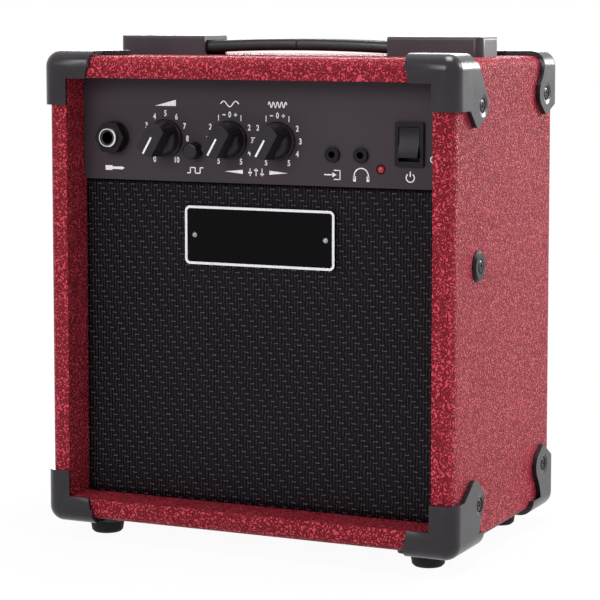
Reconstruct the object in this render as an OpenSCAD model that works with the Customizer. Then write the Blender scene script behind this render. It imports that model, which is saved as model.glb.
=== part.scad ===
/* [Cabinet] */
// Width of the cabinet over its covered boards
cab_w = 241; // [225:1:300]
// Height of the cabinet without its feet
cab_h = 258; // [245:1:320]
// Depth of the cabinet from front edge to rear edge
cab_d = 156; // [150:1:220]
// Thickness of the cabinet boards
board_t = 12; // [10:0.5:15]
// Rounding of the cabinet's outer edges
edge_r = 6; // [4:0.5:8]
// Depth of the grille cloth's face behind the front edge
recess = 21; // [18:0.5:24]
// Depth of the back panels' outer face in front of the rear edge
back_recess = 12; // [10:0.5:16]
// Thickness of the back panels
back_t = 6; // [4:0.5:8]
// Height of the open slot between the back panels
slot_h = 78; // [50:1:90]
// Height of the lower back panel above the bottom board
lower_back_h = 58; // [40:1:70]
// Side of the square battens that carry baffle and back panels
batten = 12; // [10:0.5:14]

/* [Corner guards] */
// Wall of a moulded corner guard
guard_t = 2.6; // [1.8:0.1:2.8]
// Length of a guard's leg along the rim
leg_len = 27; // [22:0.5:34]
// Width of a guard's leg on the rim
leg_w = 12.5; // [10:0.5:14]
// Reach of a front guard along the depth
front_reach = 42.5; // [38:0.5:46]
// Reach of a rear guard along the depth
rear_reach = 35; // [32:0.5:40]
// Reach of a guard's ear across the board
ear_reach = 36; // [33:0.5:40]
// Distance of the ear's screw from the board's edge on a front top or rear bottom guard
ear_screw = 24.7; // [22:0.1:26]
// Distance of the ear's screw from the board's edge on a front bottom or rear top guard
low_ear_screw = 21.2; // [19:0.1:24]
// Width of the bevel along the inner edge of a guard's leg
leg_bevel = 3.5; // [2:0.1:5]
// Distance of a front ear's screw from the front edge
front_screw = 35; // [31:0.5:36]
// Distance of a rear ear's screw from the rear edge
rear_screw = 18; // [16:0.5:20]

/* [Feet] */
// Height of the cabinet's underside above the floor
foot_h = 11; // [8:0.5:16]
// Diameter of a rubber foot at its top
foot_d = 20; // [16:0.5:22]
// Distance of a foot's centre from the side of the cabinet
foot_inset_x = 22.5; // [20:0.5:26]
// Distance of a foot's centre from the front or rear edge
foot_inset_y = 23.5; // [20:0.5:26]

/* [Front] */
// Height of the control panel
panel_h = 56.5; // [54:0.5:62]
// Thickness of the control panel
panel_t = 1.5; // [1:0.1:2]
// Distance of the panel's face in front of the grille cloth
panel_proud = 2.5; // [2:0.1:4]
// Thickness of the grille cloth
cloth_t = 1.2; // [0.8:0.1:1.6]
// Thickness of the baffle board
baffle_t = 9; // [8:0.5:12]
// Width of the name plate, left blank
badge_w = 90; // [60:1:100]
// Height of the name plate
badge_h = 32.2; // [20:0.1:40]
// Distance of the name plate's centre below the control panel
badge_drop = 29.2; // [24:0.1:40]

/* [Controls] */
// Height of the knob axes above the panel's lower edge
knob_rise = 23.4; // [20:0.1:27]
// Place of the volume knob across the panel
volume_x = -56.6; // [-62:0.1:-54]
// Place of the bass knob across the panel
bass_x = -17.1; // [-20:0.1:-14]
// Place of the treble knob across the panel
treble_x = 11.6; // [8:0.1:14]
// Diameter of a knob's skirt
knob_d = 21; // [18:0.5:24]
// Height of a knob from skirt to face
knob_h = 17.7; // [15:0.1:20]
// Width of a knob's grip bar
grip_w = 10.5; // [8:0.1:12]
// Angle of a knob's pointer at its lowest setting, clockwise from straight up
pointer_min = -150; // [-150:1:-120]
// Place of the input jack across the panel
input_x = -88.6; // [-92:0.1:-86]
// Place of the drive button across the panel
drive_x = -38.3; // [-41:0.1:-36]
// Place of the line-in jack across the panel
aux_x = 44.2; // [42:0.1:46]
// Place of the headphone jack across the panel
phone_x = 60.7; // [59:0.1:63]
// Distance of the small jacks and the drive button below the knob axes
small_drop = 6.3; // [3:0.1:9]
// Place of the power light across the panel
light_x = 72; // [70:0.1:73]
// Distance of the power light below the small jacks
light_drop = 7.2; // [5.5:0.1:9]
// Place of the power switch across the panel
rocker_x = 88.7; // [88:0.1:92]
// Swing of the power rocker from one side to the other
rocker_swing = 24; // [16:1:26]

/* [Loudspeaker] */
// Outer radius of the loudspeaker's flange
speaker_r = 64.5; // [60:0.5:70]
// Radius of the hole in the baffle
baffle_hole_r = 57.5; // [54:0.5:59]
// Depth of the loudspeaker's basket
basket_depth = 37; // [32:0.5:44]
// Radius of the magnet
magnet_r = 40; // [30:0.5:44]

/* [Handle] */
// Distance between the outer ends of the handle caps
handle_len = 222; // [200:1:235]
// Length of one handle cap
cap_len = 55; // [45:1:62]
// Width of the handle cap
cap_w = 28; // [24:0.5:32]
// Height of the handle cap
cap_h = 10.8; // [9:0.1:12]
// Width of the strap
strap_w = 23; // [18:0.5:24]
// Thickness of the strap's grip
strap_t = 6.6; // [5:0.1:7]

/* [Hidden] */
$fn = 48;

// clearances
seat_gap = 0.1;       // between a moulded guard and the covered board
fit_gap = 0.3;        // between pieces that are pushed together
shaft_gap = 0.05;     // running clearance of a shaft in its bush, on the radius
hole_gap = 0.2;       // clearance of a bush or button in a panel hole, on the radius
overcut = 1;          // how far a cutting shape runs past the face that it opens

// cabinet
inner_w = cab_w - 2 * board_t;
inner_h = cab_h - 2 * board_t;
panel_y = recess - panel_proud;
panel_back = panel_y + panel_t;
panel_z0 = cab_h - board_t - panel_h;
panel_top = cab_h - board_t - fit_gap;
knob_z = panel_z0 + knob_rise;
small_z = knob_z - small_drop;
light_z = small_z - light_drop;
badge_z = panel_z0 - badge_drop;
baffle_y = recess + cloth_t;
baffle_back = baffle_y + baffle_t;
baffle_h = panel_z0 - board_t - fit_gap;
back_y = cab_d - back_recess - back_t;

// screws
screw_d = 3.4;
screw_head_d = 7;
screw_len = 11;
guard_out = guard_t + seat_gap;   // how far a guard's face stands off the board
mask_start = -guard_out - 1;      // where a guard's cutting outlines begin
dish_d = 13;                      // round hollow about a guard's screw
dish = 1;
counterbore = 0.4;                // flat floor of the hollow, for the screw's head
dish_seat = guard_out - dish - counterbore + 0.35;
function guard_screw(rear, top) = rear != top ? ear_screw : low_ear_screw;
cup_d = 17;
cup_h = 1.8;
cup_y = 35;
cup_drop = 109.3;                 // side screw's height below the cabinet's top
cup_z = cab_h - cup_drop;

// chassis
steel_t = 1.2;
chassis_y = panel_back;
chassis_wall = chassis_y + steel_t;
chassis_d = 82;
chassis_w = inner_w - 6;
chassis_flange = 12;
board_t_pcb = 1.6;
pcb_y = chassis_wall + 12;
pcb_w = 140;
pcb_x = -2;
pcb_z0 = panel_z0 + 4;
pcb_h = 42;

// pots, jacks and switches
shaft_d = 6;
bush_d = 7;
bush_len = 4.5;
pot_d = 16.5;
pot_h = 8;
pot_nut_af = 10;
pot_nut_h = 2;
knob_gap = 0.3;
knob_y = panel_y - knob_gap;
jack_d = 10.8;
jack_bore_r = 3.2;
jack_nut_af = 16;
jack_nut_h = 6.6;
jack_lip = 2.2;
jack_body_d = 24;
mini_ring_d = 8.3;
mini_ring_h = 2;
mini_bore_r = 1.8;
mini_bush_d = 6;
button_d = 9;
button_out = 7;
button_travel = 2.5;
light_d = 5;
bezel_w = 16.1;
bezel_h = 23.6;
bezel_t = 2;
housing_w = 13.6;
housing_h = 20;
housing_d = 15;
rocker_w = 11.4;
rocker_half = 8;
rocker_front = 3;
rocker_pin_r = 1.2;
rocker_tilt = rocker_swing / 2;
rocker_end = rocker_front + rocker_half * tan(rocker_tilt);
rocker_y = panel_y - bezel_t + fit_gap + rocker_end * cos(rocker_tilt)
    - rocker_half * sin(rocker_tilt);
rocker_z = knob_z + 0.2;

// loudspeaker
speaker_z = board_t + baffle_h / 2;
flange_t = 1.2;
gasket_t = 0.8;
coil_r = 12;
plate_t = 4;
magnet_t = 12;
back_plate_t = 4;
cone_r = 50;
cone_t = 0.9;
cone_depth = 20;
spider_z = 27;
speaker_bolt_r = 61;

// handle
handle_y = cab_d / 2;
cap_x = handle_len / 2 - cap_len;
strap_gap = 1.4;
strap_run = 22;
grip_half = cap_x - strap_run;
tongue_t = 3;
tongue_w = 18;
tongue_len = 22;
strap_rim = 1.1;
handle_screw_x = cap_x + cap_len - 12;

// mains parts
inlet_side = 42.5;                // inlet's centre to the inside of the side board
inlet_x = inner_w / 2 - inlet_side;
inlet_drop = 41;                  // inlet's centre to the underside of the top board
inlet_z = cab_h - board_t - inlet_drop;
core_side = 43.5;                 // transformer's centre to the side of the chassis
core_x = chassis_w / 2 - core_side;
core_back = 20;                   // transformer's centre to the back of the chassis
core_y = chassis_y + chassis_d - core_back;
core_w = 44;
core_h = 37;
core_t = 15;
coil_w = 30;
coil_t = 30;

function arc(cx, cy, r, from, to, steps = 8) =
    [for (i = [0:steps]) let (a = from + (to - from) * i / steps) [cx + r * cos(a), cy + r * sin(a)]];

module in_cabinet() {
    translate([0, -cab_d / 2, foot_h]) children();
}

// a round bar along the depth, from one depth to another
module bar_y(d, y0, y1) {
    translate([0, y0, 0]) rotate([-90, 0, 0]) cylinder(d = d, h = y1 - y0);
}

module block(x0, x1, y0, y1, z0, z1) {
    translate([x0, y0, z0]) cube([x1 - x0, y1 - y0, z1 - z0]);
}

module rounded_square(w, h, r) {
    square([w - 2 * r, h], center = true);
    square([w, h - 2 * r], center = true);
    for (x = [-1, 1], z = [-1, 1])
        translate([x * (w / 2 - r), z * (h / 2 - r)]) circle(r = r);
}

// extrudes a shape drawn in X and Z along the depth
module along_y(y0, y1) {
    translate([0, y1, 0]) rotate([90, 0, 0]) linear_extrude(y1 - y0) children();
}

// a plate with rounded corners that faces the front
module plate_y(w, h, r, y0, y1) {
    along_y(y0, y1) rounded_square(w, h, r);
}

// ---- cabinet ----

module mitre_wedge(side) {
    reach = board_t + overcut;
    if (side == "left")
        polygon([[-overcut, -overcut], [reach, reach], [reach, cab_h - reach], [-overcut, cab_h + overcut]]);
    if (side == "bottom")
        polygon([[-overcut, -overcut], [cab_w + overcut, -overcut], [cab_w - reach, reach], [reach, reach]]);
}

module cabinet_section() {
    difference() {
        translate([cab_w / 2, cab_h / 2]) rounded_square(cab_w, cab_h, edge_r);
        translate([board_t, board_t]) square([inner_w, inner_h]);
    }
}

module board_section() {
    translate([0, edge_r]) square([board_t, cab_d - 2 * edge_r]);
    translate([edge_r, 0]) square([board_t - edge_r, cab_d]);
    for (y = [edge_r, cab_d - edge_r]) translate([edge_r, y]) circle(r = edge_r);
}

module side_board_raw() {
    intersection() {
        translate([-cab_w / 2, 0, 0]) along_y(0, cab_d)
            intersection() {
                cabinet_section();
                mitre_wedge("left");
            }
        translate([-cab_w / 2, 0, 0]) linear_extrude(cab_h) board_section();
    }
}

module level_board_raw() {
    intersection() {
        translate([-cab_w / 2, 0, 0]) along_y(0, cab_d)
            intersection() {
                cabinet_section();
                mitre_wedge("bottom");
            }
        translate([cab_w / 2, 0, 0]) rotate([0, -90, 0]) linear_extrude(cab_w) board_section();
    }
}

// screws that go straight into a board from outside
module side_screw_holes() {
    hole_d = screw_d + 2 * shaft_gap;
    for (rear = [false, true], top = [false, true])
        translate([-cab_w / 2 - overcut, rear ? cab_d - rear_screw : front_screw,
            top ? cab_h - guard_screw(rear, top) : guard_screw(rear, top)]) rotate([0, 90, 0])
            cylinder(d = hole_d, h = screw_len + overcut + fit_gap - dish_seat);
    translate([-cab_w / 2 - overcut, cup_y, cup_z]) rotate([0, 90, 0])
        cylinder(d = hole_d, h = board_t + 2 * overcut);
}

module side_board_body() {
    difference() {
        side_board_raw();
        side_screw_holes();
    }
}

module side_board_left() {
    color("firebrick") in_cabinet() side_board_body();
}

module side_board_right() {
    color("firebrick") in_cabinet() mirror([1, 0, 0]) side_board_body();
}

module top_board() {
    color("firebrick") in_cabinet() difference() {
        translate([0, 0, cab_h]) mirror([0, 0, 1]) level_board_raw();
        for (x = [-1, 1], rear = [false, true])
            translate([x * (cab_w / 2 - guard_screw(rear, true)), rear ? cab_d - rear_screw : front_screw,
                cab_h + dish_seat - screw_len - fit_gap])
                cylinder(d = screw_d + 2 * shaft_gap, h = screw_len);
        for (x = [-1, 1])
            translate([x * handle_screw_x, handle_y, cab_h - board_t - overcut])
                cylinder(d = screw_d + 2 * shaft_gap, h = board_t + 2 * overcut);
        for (p = chassis_screw_sites())
            translate([p[0], p[1], cab_h - board_t - overcut])
                cylinder(d = screw_d + 2 * shaft_gap, h = chassis_screw_len + overcut);
    }
}

module bottom_board() {
    color("firebrick") in_cabinet() difference() {
        level_board_raw();
        for (x = [-1, 1], y = [foot_inset_y, cab_d - foot_inset_y])
            translate([x * (cab_w / 2 - foot_inset_x), y, -overcut])
                cylinder(d = screw_d + 2 * shaft_gap, h = foot_screw_len + overcut);
    }
}

module baffle_board() {
    color("saddlebrown") in_cabinet() difference() {
        block(-inner_w / 2 + fit_gap, inner_w / 2 - fit_gap, baffle_y, baffle_back,
            board_t, board_t + baffle_h);
        translate([0, 0, speaker_z]) bar_y(2 * baffle_hole_r, baffle_y - overcut, baffle_back + overcut);
        for (a = [45:90:315])
            translate([speaker_bolt_r * cos(a), 0, speaker_z + speaker_bolt_r * sin(a)])
                bar_y(screw_d + 2 * shaft_gap, baffle_y + 1, baffle_back + overcut);
        for (x = [-1, 1]) translate([x * badge_screw_x, 0, badge_z])
            bar_y(badge_screw_d + 2 * shaft_gap, baffle_y - overcut, baffle_y + badge_screw_len);
    }
}

module cabinet_battens() {
    front_z1 = board_t + baffle_h;
    color("burlywood") in_cabinet() difference() {
        union() for (s = [-1, 1]) {
            translate([s * (inner_w / 2 - batten / 2), 0, 0])
                block(-batten / 2, batten / 2, baffle_back, baffle_back + batten, board_t, front_z1);
            translate([s * (inner_w / 2 - batten / 2), 0, 0])
                block(-batten / 2, batten / 2, back_y - batten, back_y, board_t, cab_h - board_t);
        }
        for (s = [-1, 1]) {
            translate([s * (inner_w / 2 + overcut), cup_y, cup_z]) rotate([0, -s * 90, 0])
                cylinder(d = screw_d + 2 * shaft_gap, h = 8);
            for (z = back_screw_zs()) translate([s * back_screw_x, 0, z])
                bar_y(screw_d + 2 * shaft_gap, back_y - screw_len, back_y + overcut);
        }
    }
}

back_screw_x = inner_w / 2 - batten / 2;
upper_back_z0 = board_t + lower_back_h + slot_h;
function back_screw_zs() = [board_t + 14, board_t + lower_back_h - 12,
    upper_back_z0 + 12, cab_h - board_t - 14];

module back_screw_holes() {
    for (s = [-1, 1], z = back_screw_zs())
        translate([s * back_screw_x, 0, z])
            bar_y(screw_d + 2 * hole_gap, back_y - overcut, back_y + back_t + overcut);
}

module back_panel_upper() {
    color("dimgray") in_cabinet() difference() {
        block(-inner_w / 2 + fit_gap, inner_w / 2 - fit_gap, back_y, back_y + back_t,
            upper_back_z0, cab_h - board_t - fit_gap);
        back_screw_holes();
        translate([inlet_x, 0, inlet_z])
            plate_y(inlet_body_w + 2 * fit_gap, inlet_body_h + 2 * fit_gap, 3,
                back_y - overcut, back_y + back_t + overcut);
        for (x = [-1, 1]) translate([inlet_x + x * inlet_screw_x, 0, inlet_z])
            bar_y(badge_screw_d + 2 * shaft_gap, back_y - overcut, back_y + back_t + overcut);
    }
}

module back_panel_lower() {
    color("dimgray") in_cabinet() difference() {
        block(-inner_w / 2 + fit_gap, inner_w / 2 - fit_gap, back_y, back_y + back_t,
            board_t + fit_gap, board_t + lower_back_h);
        back_screw_holes();
    }
}

module grille_cloth() {
    color("black") in_cabinet() difference() {
        block(-inner_w / 2 + fit_gap, inner_w / 2 - fit_gap, recess, baffle_y,
            board_t + fit_gap, board_t + baffle_h);
        for (x = [-1, 1]) translate([x * badge_screw_x, 0, badge_z])
            bar_y(badge_screw_d + 2 * shaft_gap, recess - overcut, baffle_y + overcut);
    }
}

// ---- name plate ----

badge_t = 1.6;
badge_rim = 1.4;
badge_rim_h = 0.6;
badge_screw_x = badge_w / 2 - 5.6;
badge_screw_d = 2.4;
badge_screw_len = 5;
badge_y = recess - badge_t;

module badge_plate() {
    color("black") in_cabinet() translate([0, 0, badge_z]) difference() {
        union() {
            plate_y(badge_w, badge_h, 3, badge_y, recess);
            difference() {
                plate_y(badge_w, badge_h, 3, badge_y - badge_rim_h, badge_y + badge_rim_h);
                plate_y(badge_w - 2 * badge_rim, badge_h - 2 * badge_rim, 3 - badge_rim,
                    badge_y - 2 * badge_rim_h, badge_y + 2 * badge_rim_h);
            }
        }
        for (x = [-1, 1]) translate([x * badge_screw_x, 0, 0])
            bar_y(badge_screw_d + 2 * shaft_gap, badge_y - overcut, recess + overcut);
    }
}

// ---- control panel and chassis ----

// the holes that panel and chassis share
module panel_cutouts(y0, y1) {
    for (x = [volume_x, bass_x, treble_x]) translate([x, 0, knob_z])
        bar_y(bush_d + 2 * hole_gap, y0, y1);
    translate([input_x, 0, knob_z]) bar_y(jack_d + 2 * hole_gap, y0, y1);
    translate([drive_x, 0, small_z]) bar_y(button_d + 2 * hole_gap, y0, y1);
    for (x = [aux_x, phone_x]) translate([x, 0, small_z])
        bar_y(mini_bush_d + 2 * hole_gap, y0, y1);
    translate([light_x, 0, light_z]) bar_y(light_d + 2 * hole_gap, y0, y1);
    translate([rocker_x, 0, rocker_z])
        plate_y(housing_w + 2 * hole_gap, housing_h + 2 * hole_gap, 1, y0, y1);
}

module control_panel() {
    color("dimgray") in_cabinet() difference() {
        union() {
            block(-inner_w / 2 + fit_gap, inner_w / 2 - fit_gap, panel_y, panel_back,
                panel_z0, panel_top);
            block(-inner_w / 2 + fit_gap, inner_w / 2 - fit_gap, panel_y, recess - fit_gap,
                panel_z0, panel_z0 + panel_t);
        }
        panel_cutouts(panel_y - overcut, panel_back + overcut);
    }
}

chassis_screw_len = 8;
chassis_z0 = panel_z0 + panel_t + fit_gap;
chassis_top = cab_h - board_t;
function chassis_screw_sites() = [for (x = [-1, 1], y = [chassis_y + chassis_flange / 2 + 1,
    chassis_y + chassis_d - chassis_flange / 2]) [x * (chassis_w / 2 - 12), y]];

module chassis_section() {
    y0 = chassis_y;
    y1 = chassis_y + chassis_d;
    translate([y0, chassis_z0]) square([chassis_d, steel_t]);
    for (y = [y0, y1 - steel_t]) translate([y, chassis_z0]) square([steel_t, chassis_top - chassis_z0]);
    translate([y0, chassis_top - steel_t]) square([chassis_flange, steel_t]);
    translate([y1 - chassis_flange, chassis_top - steel_t]) square([chassis_flange, steel_t]);
}

module chassis_tray() {
    vent_w = 4;
    vent_pitch = 10;
    color("silver") in_cabinet() difference() {
        translate([-chassis_w / 2, 0, 0]) rotate([90, 0, 90]) linear_extrude(chassis_w) chassis_section();
        panel_cutouts(chassis_y - overcut, chassis_wall + overcut);
        for (p = chassis_screw_sites()) translate([p[0], p[1], chassis_top - 2 * steel_t])
            cylinder(d = screw_d + 2 * hole_gap, h = 3 * steel_t);
        for (x = [-1, 1]) translate([core_x + x * core_bolt_x, core_y, chassis_z0 - overcut])
            cylinder(d = screw_d + 2 * shaft_gap, h = steel_t + 2 * overcut);
        for (i = [0:5]) translate([-80 + i * vent_pitch, 0, 0])
            block(-vent_w / 2, vent_w / 2, chassis_y + chassis_d - 2 * steel_t,
                chassis_y + chassis_d + overcut, chassis_z0 + 12, chassis_top - 14);
        translate([10, 0, chassis_z0 + 20]) bar_y(9, chassis_y + chassis_d - 2 * steel_t,
            chassis_y + chassis_d + overcut);
    }
}

// ---- corner guards: corner at the origin, x in from the side, y from the rim, z from top or bottom ----

// a square with its corner rounded, moved out by off
module corner_square(size, off) {
    far = 1;
    difference() {
        translate([-off, -off]) square(size + off);
        difference() {
            translate([-off - far, -off - far]) square(edge_r + off + far);
            translate([edge_r, edge_r]) circle(r = edge_r + off);
        }
    }
}

// the cabinet's corner grown by off: two rounded runs and a ball-ended column
module corner_block(size, off) {
    translate([edge_r, 0, 0]) rotate([90, 0, 90]) linear_extrude(size - edge_r) corner_square(size, off);
    translate([0, size, 0]) rotate([90, 0, 0]) linear_extrude(size - edge_r) corner_square(size, off);
    translate([edge_r, edge_r, 0]) rotate([0, 0, 180]) rotate_extrude(angle = 90)
        mirror([1, 0, 0]) translate([-edge_r, 0]) difference() {
            corner_square(size, off);
            translate([edge_r, -off - overcut]) square(size + off + 2 * overcut);
        }
}

// outline of an ear: along the depth and across the board, a round pad, a blunt tip and a neck that
// either swings out to the pad or runs straight to it
module ear_outline(pad_x, pad_z, pad_r, neck, straight, tip_x, tip_z, tip_r, notch) {
    neck_r = (pow(pad_x - neck, 2) + pow(pad_z, 2) - pow(pad_r, 2)) / (2 * (pad_r + pad_x - neck));
    swing = atan2(pad_z, pad_x - neck - neck_r);
    foot_x = pad_x - neck;
    foot_z = pad_z - mask_start;
    slope = atan2(foot_z, foot_x) - asin(pad_r / norm([foot_x, foot_z]));
    polygon(concat(
        [[mask_start, mask_start], [mask_start, leg_len], [notch, leg_len]],
        arc(tip_x, tip_z - tip_r, tip_r, 140, 65, 6),
        arc(pad_x, pad_z, pad_r, 45, straight ? slope - 90 : swing - 180, 14),
        straight ? [] : arc(neck + neck_r, 0, neck_r, swing + (180 - swing) / 8, 180, 7),
        [[neck, mask_start]]));
}

// the ears by place: the rear ones are short and near the rim, the front ones long
module ear(rear, top) {
    screw = guard_screw(rear, top);
    pad_r = top && !rear ? 9 : 8.5;
    pad_x = (rear ? rear_reach - 4 : top ? front_reach : front_reach - 1.6) - pad_r;
    if (rear)
        ear_outline(pad_x, screw - 0.2, pad_r, neck = pad_x - 0.5, straight = false,
            tip_x = pad_x - 3.5, tip_z = top ? ear_reach - 3 : ear_reach, tip_r = 2.5, notch = 3);
    else if (top)
        ear_outline(pad_x, screw - 0.4, pad_r, neck = pad_x - 10.5, straight = true,
            tip_x = pad_x - 6.9, tip_z = ear_reach, tip_r = 2, notch = 16);
    else
        ear_outline(pad_x, screw + 1.8, pad_r, neck = pad_x - 0.1, straight = false,
            tip_x = pad_x - 5.9, tip_z = ear_reach, tip_r = 5.5, notch = 11);
}

// the tab under the cabinet that the foot stands on, set back behind the front edge
module foot_outline(reach) {
    r = 5;
    set_back = 9;
    polygon(concat([[mask_start, mask_start], [mask_start, leg_len], [set_back, leg_len]],
        arc(set_back + r, ear_reach - r, r, 180, 90),
        arc(reach - r, ear_reach - r, r, 90, 0),
        [[reach, mask_start]]));
}

// the two legs on the rim, the level one with a slanting end
module leg_outline() {
    slant = 3;
    end_x = leg_len + 0.8;
    polygon([[mask_start, mask_start], [end_x, mask_start], [end_x - slant, leg_w], [leg_w, leg_w],
        [leg_w, leg_len], [mask_start, leg_len]]);
}

// a wedge above a plane that starts at the guard's face and sinks across the width of a bevel
module bevel_section(start) {
    fall = 0.35;
    far = 60;
    polygon([[start - overcut / fall, -guard_out - overcut],
        [start + far, -guard_out + far * fall], [start + far, -guard_out - overcut]]);
}

// bevels of the legs' inner edges, which meet in a mitre, and of their ends
module leg_bevels() {
    far = 60;
    end_bevel = 1.4;
    intersection() {
        translate([0, 0, -far / 2]) linear_extrude(2 * far) bevel_section(leg_w - leg_bevel);
        translate([2 * far - far / 2, 0, 0]) mirror([1, 0, 0]) rotate([0, 90, 0]) mirror([1, 0, 0])
            linear_extrude(2 * far) bevel_section(leg_w - leg_bevel);
    }
    translate([0, 0, -far / 2]) linear_extrude(2 * far) bevel_section(leg_len - leg_bevel);
    translate([2 * far - far / 2, 0, 0]) mirror([1, 0, 0]) rotate([0, 90, 0]) mirror([1, 0, 0])
        linear_extrude(2 * far) bevel_section(leg_len - end_bevel);
}

module guard_mask(rear, foot) {
    depth = edge_r - mask_start;
    translate([0, edge_r, 0]) rotate([90, 0, 0]) linear_extrude(depth) leg_outline();
    translate([mask_start, 0, 0]) rotate([90, 0, 90]) linear_extrude(depth) ear(rear, !foot);
    mirror([1, -1, 0]) translate([0, 0, mask_start]) linear_extrude(depth)
        if (foot) foot_outline(rear ? rear_reach : front_reach - 2);
        else ear(rear, true);
}

// a screw's hole, the flat for its head and the hollow about it, along +Z from the guard's face
module guard_hole() {
    dish_r = (pow(dish_d / 2, 2) + pow(dish, 2)) / (2 * dish);
    translate([0, 0, -overcut]) cylinder(d = screw_d + 2 * hole_gap, h = guard_out + 2 * overcut);
    translate([0, 0, -overcut]) cylinder(d = screw_head_d + 1, h = overcut + dish + counterbore);
    translate([0, 0, dish - dish_r]) sphere(r = dish_r);
}

module guard_holes(rear, foot) {
    screw_at = rear ? rear_screw : front_screw;
    screw_across = guard_screw(rear, !foot);
    translate([-guard_out, screw_at, screw_across]) rotate([0, 90, 0]) guard_hole();
    if (foot) translate([foot_inset_x, foot_inset_y, -guard_out - overcut])
        cylinder(d = screw_d + 2 * hole_gap, h = guard_out + 2 * overcut);
    else translate([screw_across, screw_at, -guard_out]) guard_hole();
}

module corner_guard(rear, foot) {
    size = 50;
    difference() {
        intersection() {
            difference() {
                corner_block(size, guard_out);
                corner_block(size + overcut, seat_gap);
            }
            guard_mask(rear, foot);
        }
        leg_bevels();
        guard_holes(rear, foot);
    }
}

// puts a guard on its corner of the cabinet
module guard_at(right, rear, top) {
    color("dimgray") in_cabinet() mirror([right ? 1 : 0, 0, 0])
        translate([-cab_w / 2, rear ? cab_d : 0, top ? cab_h : 0])
            mirror([0, rear ? 1 : 0, 0]) mirror([0, 0, top ? 1 : 0])
                corner_guard(rear, foot = !top);
}

module corner_guard_front_left_top() { guard_at(false, false, true); }
module corner_guard_front_right_top() { guard_at(true, false, true); }
module corner_guard_front_left_bottom() { guard_at(false, false, false); }
module corner_guard_front_right_bottom() { guard_at(true, false, false); }
module corner_guard_rear_left_top() { guard_at(false, true, true); }
module corner_guard_rear_right_top() { guard_at(true, true, true); }
module corner_guard_rear_left_bottom() { guard_at(false, true, false); }
module corner_guard_rear_right_bottom() { guard_at(true, true, false); }

// ---- feet and cabinet screws ----

foot_screw_len = 10;
foot_top = -guard_out;
foot_body_h = foot_h + foot_top;
foot_dish_d = 10;
foot_dish = 4;
foot_head_z = foot_h - foot_dish + 0.35;
cup_screw_len = board_t + 6;

module rubber_feet() {
    color("black") in_cabinet()
        for (x = [-1, 1], y = [foot_inset_y, cab_d - foot_inset_y])
            translate([x * (cab_w / 2 - foot_inset_x), y, -foot_h]) rotate_extrude()
                polygon([[foot_dish_d / 2, 0], [foot_d / 2 - 2.4, 0], [foot_d / 2 - 1.2, 1.2],
                    [foot_d / 2, foot_body_h], [screw_d / 2 + shaft_gap, foot_body_h],
                    [screw_d / 2 + shaft_gap, foot_dish], [foot_dish_d / 2, foot_dish]]);
}

// head outwards along -Z, shank up into the board
module wood_screw(len, seat) {
    translate([0, 0, -seat]) rotate_extrude()
        polygon([[0, -0.5], [screw_head_d / 2 - 1.2, -0.5], [screw_head_d / 2, 0],
            [screw_head_d / 2, 0.3], [screw_d / 2, 0.3], [screw_d / 2, len - 2], [0.3, len], [0, len]]);
}

// every wood screw: place, turn, length and how far its head stands off the board
function screw_sites() = concat(
    [for (s = [-1, 1], rear = [false, true], top = [false, true])
        [[s * cab_w / 2, rear ? cab_d - rear_screw : front_screw,
            top ? cab_h - guard_screw(rear, top) : guard_screw(rear, top)],
            [0, -s * 90, 0], screw_len, dish_seat]],
    [for (s = [-1, 1], rear = [false, true])
        [[s * (cab_w / 2 - guard_screw(rear, true)), rear ? cab_d - rear_screw : front_screw, cab_h],
            [180, 0, 0], screw_len, dish_seat]],
    [for (s = [-1, 1], y = [foot_inset_y, cab_d - foot_inset_y])
        [[s * (cab_w / 2 - foot_inset_x), y, 0], [0, 0, 0], foot_screw_len + foot_head_z, foot_head_z]],
    [for (s = [-1, 1]) [[s * cab_w / 2, cup_y, cup_z], [0, -s * 90, 0], cup_screw_len, cup_h - 0.3]],
    [for (s = [-1, 1], z = back_screw_zs())
        [[s * back_screw_x, back_y + back_t, z], [90, 0, 0], screw_len + back_t - 2, 0.35]]);

module cabinet_screws() {
    color("black") in_cabinet() for (p = screw_sites())
        translate(p[0]) rotate(p[1]) wood_screw(p[2], p[3]);
}

module cup_washers() {
    color("black") in_cabinet() for (s = [-1, 1]) mirror([s > 0 ? 1 : 0, 0, 0])
        translate([-cab_w / 2, cup_y, cup_z]) rotate([0, 90, 0]) rotate_extrude()
            polygon([[screw_d / 2 + hole_gap, 0], [screw_d / 2 + hole_gap, -cup_h + 1],
                [screw_head_d / 2 + 0.3, -cup_h + 0.7], [screw_head_d / 2 + 0.5, -cup_h],
                [cup_d / 2 - 1.6, -cup_h], [cup_d / 2, -0.5], [cup_d / 2, 0]]);
}

// ---- carrying handle ----

// a rectangle with its two upper corners rounded
module arched(wide, high, r) {
    translate([-wide / 2, 0]) square([wide, high - r]);
    translate([-wide / 2 + r, 0]) square([wide - 2 * r, high]);
    for (s = [-1, 1]) translate([s * (wide / 2 - r), high - r]) circle(r = r);
}

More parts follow.
